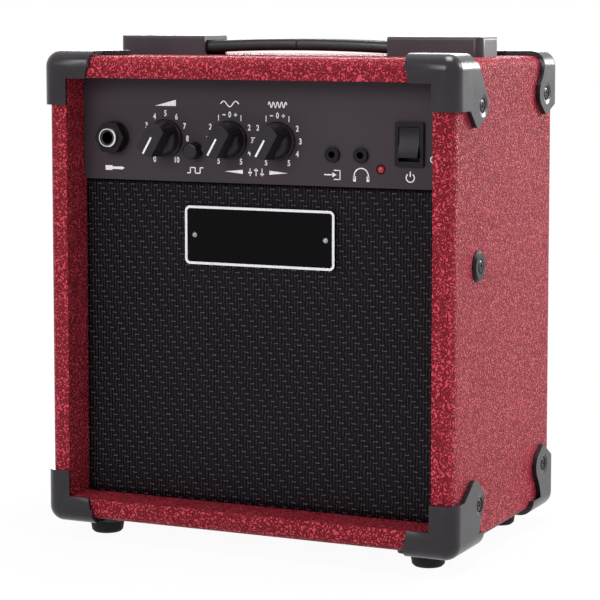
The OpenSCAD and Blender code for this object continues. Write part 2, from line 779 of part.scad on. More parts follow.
// the right-hand cap: open end at x = 0, closed end with rounded edges at x = cap_len
module handle_cap_body() {
    corner_r = 5;
    top_r = 1.8;
    difference() {
        intersection() {
            rotate([0, 0, -90]) linear_extrude(cap_h) arched(cap_w, cap_len, corner_r);
            rotate([90, 0, 90]) linear_extrude(cap_len) arched(cap_w, cap_h, top_r);
            translate([0, cap_w / 2, 0]) rotate([90, 0, 0]) linear_extrude(cap_w)
                arched(2 * cap_len, cap_h, top_r);
        }
        translate([-overcut, -tongue_w / 2 - 1, seat_gap + strap_gap - 0.4])
            cube([cap_len - 10 + overcut, tongue_w + 2, tongue_t + 1.6]);
        translate([-overcut, -strap_w / 2 - fit_gap, -overcut])
            cube([overcut + 13, strap_w + 2 * fit_gap, strap_gap + strap_t + fit_gap + overcut]);
        translate([handle_screw_x - cap_x, 0, -overcut])
            cylinder(d = screw_d + 2 * hole_gap, h = cap_h + 2 * overcut);
        translate([handle_screw_x - cap_x, 0, cap_h - 2]) cylinder(d = screw_head_d + 0.8, h = 2 + overcut);
    }
}

module handle_cap_at(s) {
    color("dimgray") in_cabinet() mirror([s < 0 ? 1 : 0, 0, 0])
        translate([cap_x, handle_y, cab_h]) handle_cap_body();
}

module handle_cap_left() { handle_cap_at(-1); }
module handle_cap_right() { handle_cap_at(1); }

// strap section in Y and Z: a flat strip with raised rims
module strap_section() {
    rim_w = 2.4;
    translate([-strap_w / 2, 0]) square([strap_w, strap_t - strap_rim]);
    for (s = [-1, 1]) translate([s * (strap_w / 2 - rim_w / 2) - rim_w / 2, 0]) square([rim_w, strap_t]);
}

module handle_grip() {
    color("black") in_cabinet() translate([-grip_half, handle_y, cab_h + strap_gap])
        rotate([90, 0, 90]) linear_extrude(2 * grip_half) strap_section();
}

// from the grip's end to the cap's mouth the strap keeps its section, then a flat tongue
module strap_end_body() {
    run = strap_run + 12;
    translate([fit_gap, 0, 0]) rotate([90, 0, 90]) linear_extrude(run - fit_gap) strap_section();
    translate([run - 1, -tongue_w / 2, 0.3]) cube([tongue_len, tongue_w, tongue_t]);
}

module handle_strap_end_at(s) {
    color("black") in_cabinet() mirror([s < 0 ? 1 : 0, 0, 0])
        translate([grip_half, handle_y, cab_h + strap_gap]) strap_end_body();
}

module handle_strap_end_left() { handle_strap_end_at(-1); }
module handle_strap_end_right() { handle_strap_end_at(1); }

// ---- input jack ----

jack_front = panel_y - jack_nut_h - jack_lip;

module input_jack_bushing() {
    color("silver") in_cabinet() translate([input_x, jack_front, knob_z]) rotate([-90, 0, 0])
        rotate_extrude() polygon([[jack_bore_r, 0.4], [jack_bore_r + 0.4, 0], [jack_d / 2 - 0.4, 0],
            [jack_d / 2, 0.4], [jack_d / 2, chassis_wall - jack_front],
            [jack_bore_r, chassis_wall - jack_front]]);
}

module input_jack_nut() {
    color("black") in_cabinet() translate([input_x, 0, knob_z]) difference() {
        union() {
            along_y(panel_y - jack_nut_h, panel_y - 1) circle(d = jack_nut_af / cos(30), $fn = 6);
            bar_y(jack_nut_af + 2, panel_y - 1.2, panel_y);
        }
        bar_y(jack_d + 2 * shaft_gap, panel_y - jack_nut_h - overcut, panel_y + overcut);
    }
}

module input_jack_body() {
    color("black") in_cabinet() translate([input_x, 0, knob_z]) difference() {
        union() {
            block(-9, 9, chassis_wall, chassis_wall + jack_body_d, -10, 10);
            for (x = [-5.5, 0, 5.5])
                block(x - 1, x + 1, chassis_wall + 6, chassis_wall + jack_body_d - 4, 9.5, 14);
        }
        bar_y(2 * jack_bore_r + 2, chassis_wall - overcut, chassis_wall + jack_body_d - 2);
    }
}

// ---- rotary controls ----

module knob_body() {
    cavity_d = pot_nut_af / cos(30) + 1.6;
    cavity_h = pot_nut_h + 3;
    dome_r = knob_d / 2 - 1;
    grip_r = knob_d / 2 - 0.8;
    skirt_h = 2;
    dome_h = 7;
    difference() {
        union() {
            rotate_extrude() polygon(concat([[0, 0], [knob_d / 2, 0], [knob_d / 2, skirt_h - 0.6],
                [knob_d / 2 - 0.6, skirt_h]],
                [for (a = [0:15:90]) [dome_r - 4 * (1 - cos(a)), skirt_h + (dome_h - skirt_h) * sin(a)]],
                [[0, dome_h]]));
            intersection() {
                translate([0, 0, 0.5]) cylinder(r1 = grip_r, r2 = grip_r - 0.5, h = knob_h - 0.5);
                translate([-grip_w / 2, -knob_d / 2, 0]) cube([grip_w, knob_d, knob_h]);
            }
        }
        translate([0, 0, -overcut]) cylinder(d = cavity_d, h = cavity_h + overcut);
        translate([0, 0, -overcut]) cylinder(d = shaft_d + 2 * shaft_gap, h = shaft_reach + overcut);
        translate([-0.6, knob_d / 2 - 10, knob_h - 0.3]) cube([1.2, 8.6, 0.3 + overcut]);
    }
}

shaft_reach = knob_h - 3;

// a knob on its shaft, pointer at the lowest setting
module knob_at(x) {
    color("dimgray") in_cabinet() translate([x, knob_y, knob_z]) rotate([0, pointer_min, 0])
        rotate([90, 0, 0]) knob_body();
}

module volume_knob() { knob_at(volume_x); }
module bass_knob() { knob_at(bass_x); }
module treble_knob() { knob_at(treble_x); }

module shaft_at(x) {
    color("silver") in_cabinet() translate([x, 0, knob_z])
        bar_y(shaft_d, knob_y - shaft_reach + 0.2, chassis_wall + pot_h - 1.5);
}

module volume_shaft() { shaft_at(volume_x); }
module bass_shaft() { shaft_at(bass_x); }
module treble_shaft() { shaft_at(treble_x); }

module potentiometers() {
    color("silver") in_cabinet() for (x = [volume_x, bass_x, treble_x]) translate([x, 0, knob_z])
        difference() {
            union() {
                bar_y(pot_d, chassis_wall, chassis_wall + pot_h);
                bar_y(bush_d, panel_y - bush_len, chassis_wall + 1);
                block(-7, 7, chassis_wall + 4, chassis_wall + 5.6, -14, 0);
                for (t = [-5, 0, 5]) block(t - 0.6, t + 0.6, chassis_wall + 4.3, pcb_y - 0.05, -14, -12.4);
            }
            bar_y(shaft_d + 2 * shaft_gap, panel_y - bush_len - overcut, chassis_wall + pot_h - 1);
        }
}

module pot_nuts() {
    color("silver") in_cabinet() for (x = [volume_x, bass_x, treble_x]) translate([x, 0, knob_z])
        difference() {
            along_y(panel_y - pot_nut_h, panel_y) circle(d = pot_nut_af / cos(30), $fn = 6);
            bar_y(bush_d + 2 * shaft_gap, panel_y - pot_nut_h - overcut, panel_y + overcut);
        }
}

// ---- drive button ----

button_back = chassis_wall + 3.5;
plunger = 4;

module drive_button() {
    color("dimgray") in_cabinet() translate([drive_x, 0, small_z]) {
        translate([0, button_back, 0]) rotate([90, 0, 0]) rotate_extrude()
            polygon(concat([[0, 0], [button_d / 2, 0]],
                arc(button_d / 2 - 1.2, button_back - panel_y + button_out - 1.2, 1.2, 0, 90, 5),
                [[0, button_back - panel_y + button_out]]));
        block(-plunger / 2, plunger / 2, button_back - 0.5, pcb_y - button_travel - 0.8,
            -plunger / 2, plunger / 2);
    }
}

module drive_switch() {
    front = button_back + button_travel + 0.5;
    color("darkslategray") in_cabinet() translate([drive_x, 0, small_z]) difference() {
        union() {
            block(-5, 5, front, pcb_y, -5, 5);
            for (x = [-2.5, 2.5], z = [-3, 3])
            block(x - 0.4, x + 0.4, pcb_y - 0.5, pcb_y + board_t_pcb + 1.4,
                z - 0.4, z + 0.4);
        }
        block(-plunger / 2 - 0.3, plunger / 2 + 0.3, front - overcut, pcb_y - 0.5,
            -plunger / 2 - 0.3, plunger / 2 + 0.3);
    }
}

// ---- small jacks and light ----

module mini_jack_at(x) {
    bore_end = pcb_y - 1.5;
    color("dimgray") in_cabinet() translate([x, 0, small_z]) difference() {
        union() {
            bar_y(mini_ring_d, panel_y - mini_ring_h, panel_y);
            bar_y(mini_bush_d, panel_y - 1, chassis_wall + 1);
            block(-6, 6, chassis_wall, pcb_y, -6, 5);
            for (t = [-3, 3]) block(t - 0.4, t + 0.4, pcb_y - 0.5, pcb_y + board_t_pcb + 1.2, -3.4, -2.6);
        }
        bar_y(2 * mini_bore_r, panel_y - mini_ring_h - overcut, bore_end);
    }
}

module aux_jack() { mini_jack_at(aux_x); }
module headphone_jack() { mini_jack_at(phone_x); }

module power_light() {
    light_out = 1.2;
    light_len = light_out + chassis_wall + 3 - panel_y;
    color("darkred") in_cabinet() translate([light_x, 0, light_z]) {
        translate([0, panel_y - light_out, 0]) rotate([-90, 0, 0]) rotate_extrude()
            polygon(concat(arc(0, light_d / 2, light_d / 2, 270, 360, 6),
                [[light_d / 2, light_len], [0, light_len]]));
        for (t = [-1.27, 1.27])
            block(t - 0.3, t + 0.3, chassis_wall + 2.5, pcb_y + board_t_pcb + 1.2, -0.3, 0.3);
    }
}

// ---- power switch ----

module rocker_profile() {
    polygon([[-rocker_end, -rocker_half], [-rocker_front, 0], [-rocker_end, rocker_half],
        [-rocker_end + 2, rocker_half], [2.4, 4.4], [2.4, -4.4], [-rocker_end + 2, -rocker_half]]);
}

module power_rocker() {
    color("black") in_cabinet() translate([rocker_x, rocker_y, rocker_z]) rotate([-rocker_tilt, 0, 0]) {
        translate([-rocker_w / 2, 0, 0]) rotate([90, 0, 90]) linear_extrude(rocker_w) rocker_profile();
        translate([-rocker_w / 2 - 0.9, 0, 0]) rotate([0, 90, 0])
            cylinder(r = rocker_pin_r, h = rocker_w + 1.8);
    }
}

module rocker_switch_frame() {
    swing_r = sqrt(pow(rocker_end, 2) + pow(rocker_half, 2));
    cavity_h = 2 * (swing_r * sin(atan2(rocker_half, rocker_end) + rocker_tilt) + 0.3);
    cavity_w = rocker_w + 2 * fit_gap;
    color("black") in_cabinet() translate([rocker_x, 0, rocker_z]) difference() {
        union() {
            plate_y(bezel_w, bezel_h, 1, panel_y - bezel_t, panel_y);
            plate_y(housing_w, housing_h, 0.8, panel_y - 0.5, panel_y + housing_d);
            for (z = [-6, 0, 6]) block(-2.4, 2.4, panel_y + housing_d - 0.5, panel_y + housing_d + 7,
                z - 0.4, z + 0.4);
        }
        plate_y(cavity_w, cavity_h, 0.4, panel_y - bezel_t - overcut, rocker_y + 4.6);
        translate([-housing_w, rocker_y, 0]) rotate([0, 90, 0])
            cylinder(r = rocker_pin_r + shaft_gap, h = 2 * housing_w);
    }
}

// ---- electronics ----

module circuit_board() {
    color("darkgreen") in_cabinet() difference() {
        block(pcb_x - pcb_w / 2, pcb_x + pcb_w / 2 + 7, pcb_y, pcb_y + board_t_pcb, pcb_z0, pcb_z0 + pcb_h);
        for (x = [-2.5, 2.5], z = [-3, 3]) translate([drive_x + x, 0, small_z + z])
            bar_y(1.4, pcb_y - overcut, pcb_y + 2 * overcut + board_t_pcb);
        for (x = [aux_x, phone_x], t = [-3, 3]) translate([x + t, 0, small_z - 3])
            bar_y(1.4, pcb_y - overcut, pcb_y + 2 * overcut + board_t_pcb);
        for (t = [-1.27, 1.27]) translate([light_x + t, 0, light_z])
            bar_y(1.1, pcb_y - overcut, pcb_y + 2 * overcut + board_t_pcb);
    }
}

module board_parts() {
    y0 = pcb_y + board_t_pcb;
    color("midnightblue") in_cabinet() {
        for (p = [[-58, 28.5, 12.5, 22], [-42, 28.5, 12.5, 22], [-62, 11.5, 8, 12], [20, 30.5, 8, 12],
            [34, 30.5, 6.3, 11], [14, 6.5, 6.3, 11], [28, 11.5, 5, 11], [54, 30.5, 8, 12]])
            translate([p[0], 0, pcb_z0 + p[1]]) bar_y(p[2], y0, y0 + p[3]);
        for (p = [[-2, 29.5], [12, 17.5], [44, 22.5]])
            translate([p[0], 0, pcb_z0 + p[1]]) block(-3.5, 3.5, y0, y0 + 3, -4.5, 4.5);
    }
}

// an angle of aluminium on the chassis floor with fins towards the back
module heat_sink() {
    y0 = pcb_y + board_t_pcb + 5;
    fins = 6;
    fin_pitch = 6;
    color("silver") in_cabinet() translate([-16, y0, chassis_z0 + steel_t]) {
        block(-18, 18, 0, 22, 0, 2);
        block(-18, 18, 0, 2.5, 0, 34);
        for (i = [0:fins - 1]) translate([(i - (fins - 1) / 2) * fin_pitch, 0, 0])
            block(-0.8, 0.8, 2, 14, 1.5, 34);
        block(-6, 6, -3.4, 0, 14, 30);
    }
}

core_bolt_x = core_w / 2 + 5;

module transformer_core() {
    z0 = chassis_z0 + steel_t;
    foot_t = 1.2;
    color("gray") in_cabinet() translate([core_x, core_y, z0]) difference() {
        union() {
            block(-core_w / 2, core_w / 2, -core_t / 2, core_t / 2, foot_t, foot_t + core_h);
            block(-core_w / 2 - 10, core_w / 2 + 10, -core_t / 2, core_t / 2, 0, foot_t);
        }
        for (s = [-1, 1]) {
            translate([s * 11, 0, 0]) block(-4.2, 4.2, -core_t, core_t, foot_t + 7, foot_t + core_h - 7);
            translate([s * core_bolt_x, 0, -overcut]) cylinder(d = screw_d + 2 * hole_gap, h = 4);
        }
    }
}

module transformer_coil() {
    z0 = chassis_z0 + steel_t + 1.2;
    color("goldenrod") in_cabinet() translate([core_x, core_y, z0]) difference() {
        translate([0, 0, 7.3]) linear_extrude(core_h - 14.6) difference() {
            rounded_square(coil_w, coil_t, 3);
            square([13.8, core_t + 0.4], center = true);
        }
        for (s = [-1, 1]) translate([s * 19.3, 0, 0])
            block(-4, 4, -core_t / 2 - 0.2, core_t / 2 + 0.2, 0, core_h);
    }
}

// ---- mains inlet ----

inlet_w = 50;
inlet_h = 25;
inlet_body_w = 28;
inlet_body_h = 21;
inlet_depth = 24;
inlet_flange = 3;
inlet_screw_x = 20;

module mains_inlet() {
    pocket_w = 24.6;
    pocket_h = 16.4;
    pocket_d = 16;
    y1 = back_y + back_t;
    color("black") in_cabinet() translate([inlet_x, 0, inlet_z]) difference() {
        union() {
            plate_y(inlet_w, inlet_h, 6, y1, y1 + inlet_flange);
            plate_y(inlet_body_w, inlet_body_h, 2, y1 - inlet_depth + inlet_flange, y1 + 0.5);
            for (x = [-7, 0, 7]) block(x - 0.4, x + 0.4, y1 - inlet_depth - 4, y1 - inlet_depth + 5, -3, 3);
        }
        difference() {
            plate_y(pocket_w, pocket_h, 2.5, y1 + inlet_flange - pocket_d, y1 + inlet_flange + overcut);
            for (x = [-7, 0, 7]) block(x - 1, x + 1, y1 + inlet_flange - pocket_d - 1, y1 + inlet_flange - 3,
                x == 0 ? 0 : -4, x == 0 ? 4 : 0);
        }
        for (s = [-1, 1]) translate([s * inlet_screw_x, 0, 0])
            bar_y(badge_screw_d + 2 * hole_gap, y1 - overcut, y1 + inlet_flange + overcut);
    }
}

// ---- loudspeaker: local z runs from the baffle's rear face towards the back ----

module speaker_place() {
    in_cabinet() translate([0, baffle_back, speaker_z]) rotate([-90, 0, 0]) children();
}

plate_z = basket_depth;
magnet_z = plate_z + plate_t;
back_plate_z = magnet_z + magnet_t;
cone_neck_z = 2 + cone_depth;

module speaker_basket() {
    rim_r = baffle_hole_r - 1.5;
    ring_r = magnet_r - 8;
    wall = 1.3;
    window_a = 62;
    color("dimgray") speaker_place() difference() {
        rotate_extrude() polygon([[rim_r, gasket_t], [speaker_r, gasket_t],
            [speaker_r, gasket_t + flange_t], [rim_r + wall, gasket_t + flange_t],
            [rim_r - 2, 12], [ring_r + 10, spider_z], [ring_r + 2, plate_z], [coil_r + 3, plate_z],
            [coil_r + 3, plate_z - wall], [ring_r, plate_z - wall], [ring_r + 8, spider_z],
            [rim_r - 4, 12]]);
        for (a = [0:90:270]) rotate([0, 0, a])
            translate([0, 0, 7]) linear_extrude(plate_z - 9 - 2)
                polygon([[ring_r - 2, 0], [80 * cos(window_a / 2), 80 * sin(window_a / 2)],
                    [80 * cos(window_a / 2), -80 * sin(window_a / 2)]]);
        for (a = [45:90:315]) rotate([0, 0, a]) translate([speaker_bolt_r, 0, gasket_t - overcut])
            cylinder(d = screw_d + 2 * hole_gap, h = flange_t + 2 * overcut);
    }
}

module speaker_magnet() {
    pole_r = coil_r - 0.5;
    color("dimgray") speaker_place() rotate_extrude() polygon([
        [0, plate_z - 2], [pole_r, plate_z - 2], [pole_r, back_plate_z], [magnet_r / 2.4, back_plate_z],
        [magnet_r / 2.4, magnet_z], [coil_r + 1.1, magnet_z], [coil_r + 1.1, plate_z],
        [magnet_r - 3, plate_z], [magnet_r - 3, magnet_z], [magnet_r, magnet_z],
        [magnet_r, back_plate_z], [magnet_r - 4, back_plate_z],
        [magnet_r - 4, back_plate_z + back_plate_t], [0, back_plate_z + back_plate_t]]);
}

module speaker_surround() {
    roll_c = (cone_r + baffle_hole_r - 2) / 2 + 0.4;
    roll_r = (baffle_hole_r - 2 - cone_r) / 2;
    skin = 0.7;
    color("black") speaker_place() difference() {
        rotate_extrude() polygon(concat(
            arc(roll_c, gasket_t, roll_r, 180, 360, 10),
            [[speaker_r, 0], [speaker_r, gasket_t]],
            arc(roll_c, gasket_t, roll_r - skin, 360, 180, 10)));
        for (a = [45:90:315]) rotate([0, 0, a]) translate([speaker_bolt_r, 0, -overcut])
            cylinder(d = screw_d + 2 * hole_gap, h = gasket_t + 2 * overcut);
    }
}

module speaker_cone() {
    color("black") speaker_place() rotate_extrude() polygon([
        [cone_r, 1.2], [cone_r, 1.2 + cone_t], [cone_r - 3, 2 + cone_t],
        [coil_r + 1.2, cone_neck_z + cone_t], [coil_r + 0.5, cone_neck_z + cone_t],
        [coil_r + 0.5, plate_z + plate_t - 1], [coil_r, plate_z + plate_t - 1],
        [coil_r, cone_neck_z - 0.4], [coil_r + 0.8, cone_neck_z - 0.4], [cone_r - 3, 2]]);
}

module speaker_spider() {
    inner = coil_r + 0.8;
    outer = magnet_r + 0.2;
    waves = 4;
    step = (outer - inner - 2) / (8 * waves);
    skin = 0.5;
    top = [for (i = [0:8 * waves]) [inner + 1 + i * step, spider_z - 1 + 1.2 * sin(i * 45)]];
    bottom = [for (i = [8 * waves:-1:0]) [inner + 1 + i * step, spider_z - 1 + skin + 1.2 * sin(i * 45)]];
    color("saddlebrown") speaker_place() rotate_extrude() polygon(concat(
        [[inner, spider_z - 1]], top, [[outer, spider_z - 1]],
        [[outer, spider_z - 1 + skin]], bottom, [[inner, spider_z - 1 + skin]]));
}

module dust_cap() {
    r = 17;
    rise = 4;
    skin = 0.6;
    seat_z = cone_neck_z - 0.4 - (r - coil_r) * (cone_depth - 0.4) / (cone_r - 3 - coil_r - 0.8);
    ball_r = (r * r + rise * rise) / (2 * rise);
    span = asin(r / ball_r);
    color("black") speaker_place() rotate_extrude() polygon(concat(
        [for (i = [0:6]) let (a = span * i / 6)
            [ball_r * sin(a), seat_z - rise + ball_r * (1 - cos(a)) - skin]],
        [for (i = [6:-1:0]) let (a = span * i / 6) [(ball_r - skin) * sin(a),
            seat_z - rise + ball_r - (ball_r - skin) * cos(a) - skin]]));
}

// ---- small machine screws ----

module pan_screw(d, head_d, head_h, len) {
    rotate_extrude() polygon([[0, -head_h], [head_d / 2 - 0.8, -head_h], [head_d / 2, -head_h + 0.8],
        [head_d / 2, 0], [d / 2, 0], [d / 2, len], [0, len]]);
}

module machine_screws() {
    color("silver") in_cabinet() {
        for (x = [-1, 1]) translate([x * badge_screw_x, badge_y, badge_z]) rotate([-90, 0, 0])
            pan_screw(badge_screw_d, 3.6, 0.5, badge_t + cloth_t + badge_screw_len - 0.5);
        for (a = [45:90:315])
            translate([speaker_bolt_r * cos(a), baffle_back + gasket_t + flange_t,
                speaker_z + speaker_bolt_r * sin(a)]) rotate([90, 0, 0])
                pan_screw(screw_d, 6.4, 2, gasket_t + flange_t + 7);
        for (p = chassis_screw_sites()) translate([p[0], p[1], chassis_top - steel_t])
            pan_screw(screw_d, 6.4, 2, steel_t + chassis_screw_len - 1);
        for (x = [-1, 1]) translate([core_x + x * core_bolt_x, core_y, chassis_z0 + steel_t + 1.2])
            rotate([180, 0, 0]) pan_screw(screw_d, 6.4, 2, steel_t + 4);
        for (x = [-1, 1]) translate([x * handle_screw_x, handle_y, cab_h + cap_h - 2])
            rotate([180, 0, 0]) pan_screw(screw_d, 6.6, 1.4, board_t + cap_h - 3);
        for (x = [-1, 1]) translate([inlet_x + x * inlet_screw_x, back_y + back_t + inlet_flange, inlet_z])
            rotate([90, 0, 0]) pan_screw(badge_screw_d, 4.6, 1.4, inlet_flange + back_t + 2);
    }
}

top_board();
bottom_board();
side_board_left();
side_board_right();
baffle_board();
cabinet_battens();
grille_cloth();
badge_plate();
control_panel();
chassis_tray();
corner_guard_front_left_top();
corner_guard_front_right_top();
corner_guard_front_left_bottom();
corner_guard_front_right_bottom();
corner_guard_rear_left_top();
corner_guard_rear_right_top();
corner_guard_rear_left_bottom();
corner_guard_rear_right_bottom();
cup_washers();
cabinet_screws();
rubber_feet();
handle_cap_left();
handle_cap_right();
handle_grip();
handle_strap_end_left();
handle_strap_end_right();
input_jack_body();
input_jack_bushing();
input_jack_nut();
volume_knob();
bass_knob();
treble_knob();
volume_shaft();
bass_shaft();
treble_shaft();
potentiometers();
pot_nuts();
drive_button();
drive_switch();
aux_jack();
headphone_jack();
power_light();
power_rocker();
rocker_switch_frame();
circuit_board();
board_parts();
heat_sink();
transformer_core();
transformer_coil();
back_panel_upper();
back_panel_lower();
mains_inlet();
speaker_basket();
speaker_magnet();
speaker_surround();
speaker_spider();
speaker_cone();
dust_cap();
machine_screws();
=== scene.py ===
"""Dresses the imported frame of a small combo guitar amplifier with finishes, soft pieces, print and light."""

import logging
import math
import random
from dataclasses import dataclass, field
from enum import Enum
from typing import Iterable, Sequence

import bmesh
import bpy
from mathutils import Euler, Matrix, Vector

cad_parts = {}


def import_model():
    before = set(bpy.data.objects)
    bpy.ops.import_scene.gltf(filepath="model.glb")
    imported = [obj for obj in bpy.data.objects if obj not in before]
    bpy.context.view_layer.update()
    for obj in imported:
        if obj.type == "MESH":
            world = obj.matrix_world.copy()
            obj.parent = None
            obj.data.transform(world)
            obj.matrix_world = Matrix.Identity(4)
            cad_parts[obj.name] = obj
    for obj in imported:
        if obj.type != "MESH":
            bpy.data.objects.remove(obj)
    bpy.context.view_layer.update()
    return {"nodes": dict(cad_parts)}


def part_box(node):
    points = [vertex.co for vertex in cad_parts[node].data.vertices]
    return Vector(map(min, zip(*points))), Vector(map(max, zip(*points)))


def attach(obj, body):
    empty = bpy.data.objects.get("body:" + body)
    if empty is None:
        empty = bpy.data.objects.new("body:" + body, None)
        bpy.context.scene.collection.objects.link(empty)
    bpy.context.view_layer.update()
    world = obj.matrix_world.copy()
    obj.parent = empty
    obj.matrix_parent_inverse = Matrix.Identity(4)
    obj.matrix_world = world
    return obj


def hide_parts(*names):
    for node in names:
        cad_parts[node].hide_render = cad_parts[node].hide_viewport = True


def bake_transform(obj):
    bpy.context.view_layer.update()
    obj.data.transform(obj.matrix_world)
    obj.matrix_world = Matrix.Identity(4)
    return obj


LOG = logging.getLogger("amplifier")

MM = 0.001
HALF_DEPTH = 78.0
FOOT_H = 11.0
KNOBS = ("volume", "bass", "treble")
WHITE = (1.0, 1.0, 1.0, 1.0)

Point = tuple[float, float]
Triple = tuple[float, float, float]
Socket = bpy.types.NodeSocket
Tree = bpy.types.NodeTree


def at(x: float, depth: float, height: float) -> Vector:
    """Turns cabinet millimetres into the row frame.

    Args:
        x: Distance right of the cabinet's centre.
        depth: Distance behind the cabinet's front edge.
        height: Distance above the cabinet's underside.

    Returns:
        The point in metres, in the row frame.
    """
    return Vector((x, depth - HALF_DEPTH, height + FOOT_H)) * MM


def span(node: str) -> tuple[Triple, Triple]:
    """Reads a solid's box from the frame, to a micrometre.

    Args:
        node: The solid's name.

    Returns:
        Its lowest and highest corner in cabinet millimetres: X, depth and height.
    """
    shift = (0.0, HALF_DEPTH, -FOOT_H)
    low, high = (tuple(round(v / MM + s, 3) for v, s in zip(corner, shift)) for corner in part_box(node))
    return low, high


def middle(node: str) -> Triple:
    """Reads the middle of a solid's box from the frame.

    Args:
        node: The solid's name.

    Returns:
        The middle in cabinet millimetres: X, depth and height.
    """
    x, depth, height = (round((a + b) / 2, 3) for a, b in zip(*span(node)))
    return x, depth, height


def linear(hex_colour: str) -> tuple[float, float, float, float]:
    """Converts an sRGB hex colour to the linear values that sockets take.

    Args:
        hex_colour: Six hexadecimal digits, such as "9E2C38".

    Returns:
        Linear red, green, blue and an alpha of one.
    """
    channels = [int(hex_colour[i : i + 2], 16) / 255 for i in (0, 2, 4)]
    lin = [c / 12.92 if c <= 0.04045 else ((c + 0.055) / 1.055) ** 2.4 for c in channels]
    return (lin[0], lin[1], lin[2], 1.0)


def add(tree: Tree, kind: str, inputs: dict | None = None, **settings: object) -> bpy.types.NodeOutputs:
    """Adds one node with its settings and links.

    Args:
        tree: The tree that the node goes into.
        kind: The node's type name.
        inputs: A plain value or an output socket for each input, by its name or number.
        settings: Attributes of the node itself.

    Returns:
        The new node's outputs.
    """
    made = tree.nodes.new(kind)
    for key, value in settings.items():
        setattr(made, key, value)
    for key, value in (inputs or {}).items():
        if isinstance(value, Socket):
            tree.links.new(value, made.inputs[key])
        else:
            made.inputs[key].default_value = value
    return made.outputs


# ---------------------------------------------------------------- finishes

# Most levels of a noise lie between these two.
NOISE_LOW, NOISE_HIGH = 0.3, 0.7


def per_m(size_mm: float) -> float:
    """Turns the real size of a pattern's feature into its texture's scale."""
    return 1.0 / (size_mm * MM)


def tint(tree: Tree, level: Socket, colours: Sequence[str], spans: Sequence[Point]) -> Socket:
    """Wires a colour that passes through several as a level rises.

    Args:
        tree: The material's tree.
        level: The level.
        colours: The first colour, and the one at the end of each passage.
        spans: Where on the level each passage starts and ends.

    Returns:
        The colour.
    """
    shade = linear(colours[0])
    for (start, end), colour in zip(spans, colours[1:]):
        share = add(tree, "ShaderNodeMapRange", {"Value": level, "From Min": start, "From Max": end})[0]
        shade = add(tree, "ShaderNodeMix", {0: share, 6: shade, 7: linear(colour)}, data_type="RGBA")[2]
    return shade


@dataclass(frozen=True)
class Finish:
    """A surface finish that builds its own material."""

    name: str

    def material(self) -> bpy.types.Material:
        """Builds the material, or hands back the one built before.

        Returns:
            The material.
        """
        known = bpy.data.materials.get(self.name)
        if known:
            return known
        made = bpy.data.materials.new(self.name)
        made.use_nodes = True
        tree = made.node_tree
        tree.nodes.clear()
        where = add(tree, "ShaderNodeTexCoord")["Object"]
        skin = add(tree, "ShaderNodeBsdfPrincipled", self.wire(tree, where))[0]
        add(tree, "ShaderNodeOutputMaterial", {"Surface": skin})
        return made

    def wire(self, tree: Tree, where: Socket) -> dict[str, object]:
        """Wires the finish.

        Args:
            tree: The material's tree.
            where: The place on the object.

        Returns:
            The shader's inputs.
        """
        raise NotImplementedError


@dataclass(frozen=True)
class GrainedVinyl(Finish):
    """PVC leathercloth, calendered onto a cloth backing and embossed with a hide grain."""

    # The deep colour is painted shade in the creases, the crest colour a painted glint on each wrinkle's top,
    # about the body colour.
    deep: str = "7A1523"
    body: str = "B22939"
    crest: str = "D24B5B"
    wrinkle_mm: float = 1.5
    crease: float = 0.15
    sway_mm: float = 2.381
    sway_by_mm: float = 2.0
    # Real pores are a third of this. They are drawn as coarse as they need to show.
    pore_mm: float = 0.909
    pore_share: float = 0.35
    painted_light_spans: tuple[Point, Point] = ((0.1, 0.6), (0.7, 1.3))
    relief_mm: float = 2.0
    roughness: float = 0.4
    dry_creases: float = 0.16
    smooth_crests: float = 0.05
    gloss: float = 0.12

    def wire(self, tree: Tree, where: Socket) -> dict[str, object]:
        """Wires worm-like wrinkles of even width, with pores between them.

        Args:
            tree: The material's tree.
            where: The place on the object.

        Returns:
            The shader's inputs.
        """
        sway = add(tree, "ShaderNodeTexNoise", {
            "Vector": where, "Scale": per_m(self.sway_mm), "Detail": 1.0})["Color"]
        wavy = add(tree, "ShaderNodeVectorMath", {0: sway, 1: (self.sway_by_mm * MM,) * 3, 2: where},
                   operation="MULTIPLY_ADD")[0]
        # The middle level of a smooth noise runs in winding lines, which are the creases.
        folds = add(tree, "ShaderNodeTexNoise", {
            "Vector": wavy, "Scale": per_m(self.wrinkle_mm), "Detail": 1.0, "Roughness": 0.35})["Fac"]
        level = add(tree, "ShaderNodeMath", {0: folds, 1: 0.5}, operation="SUBTRACT")[0]
        away = add(tree, "ShaderNodeMath", {0: level}, operation="ABSOLUTE")[0]
        ridge = add(tree, "ShaderNodeMapRange", {"Value": away, "From Max": self.crease},
                    interpolation_type="SMOOTHSTEP")[0]
        pores = add(tree, "ShaderNodeTexNoise", {
            "Vector": where, "Scale": per_m(self.pore_mm), "Detail": 2.0})["Fac"]
        height = add(tree, "ShaderNodeMath", {0: pores, 1: self.pore_share, 2: ridge},
                     operation="MULTIPLY_ADD")[0]
        # Painted shade darkens the creases and a painted glint lightens the crests, following the height.
        colour = tint(tree, height, (self.deep, self.body, self.crest), self.painted_light_spans)
        dull = add(tree, "ShaderNodeMapRange", {
            "Value": height, "From Min": 0.1, "From Max": 1.2, "To Min": self.roughness + self.dry_creases,
            "To Max": self.roughness - self.smooth_crests})[0]
        bump = add(tree, "ShaderNodeBump", {"Height": height, "Distance": self.relief_mm * MM})[0]
        return {"Base Color": colour, "Roughness": dull, "Normal": bump, "Specular IOR Level": self.gloss}


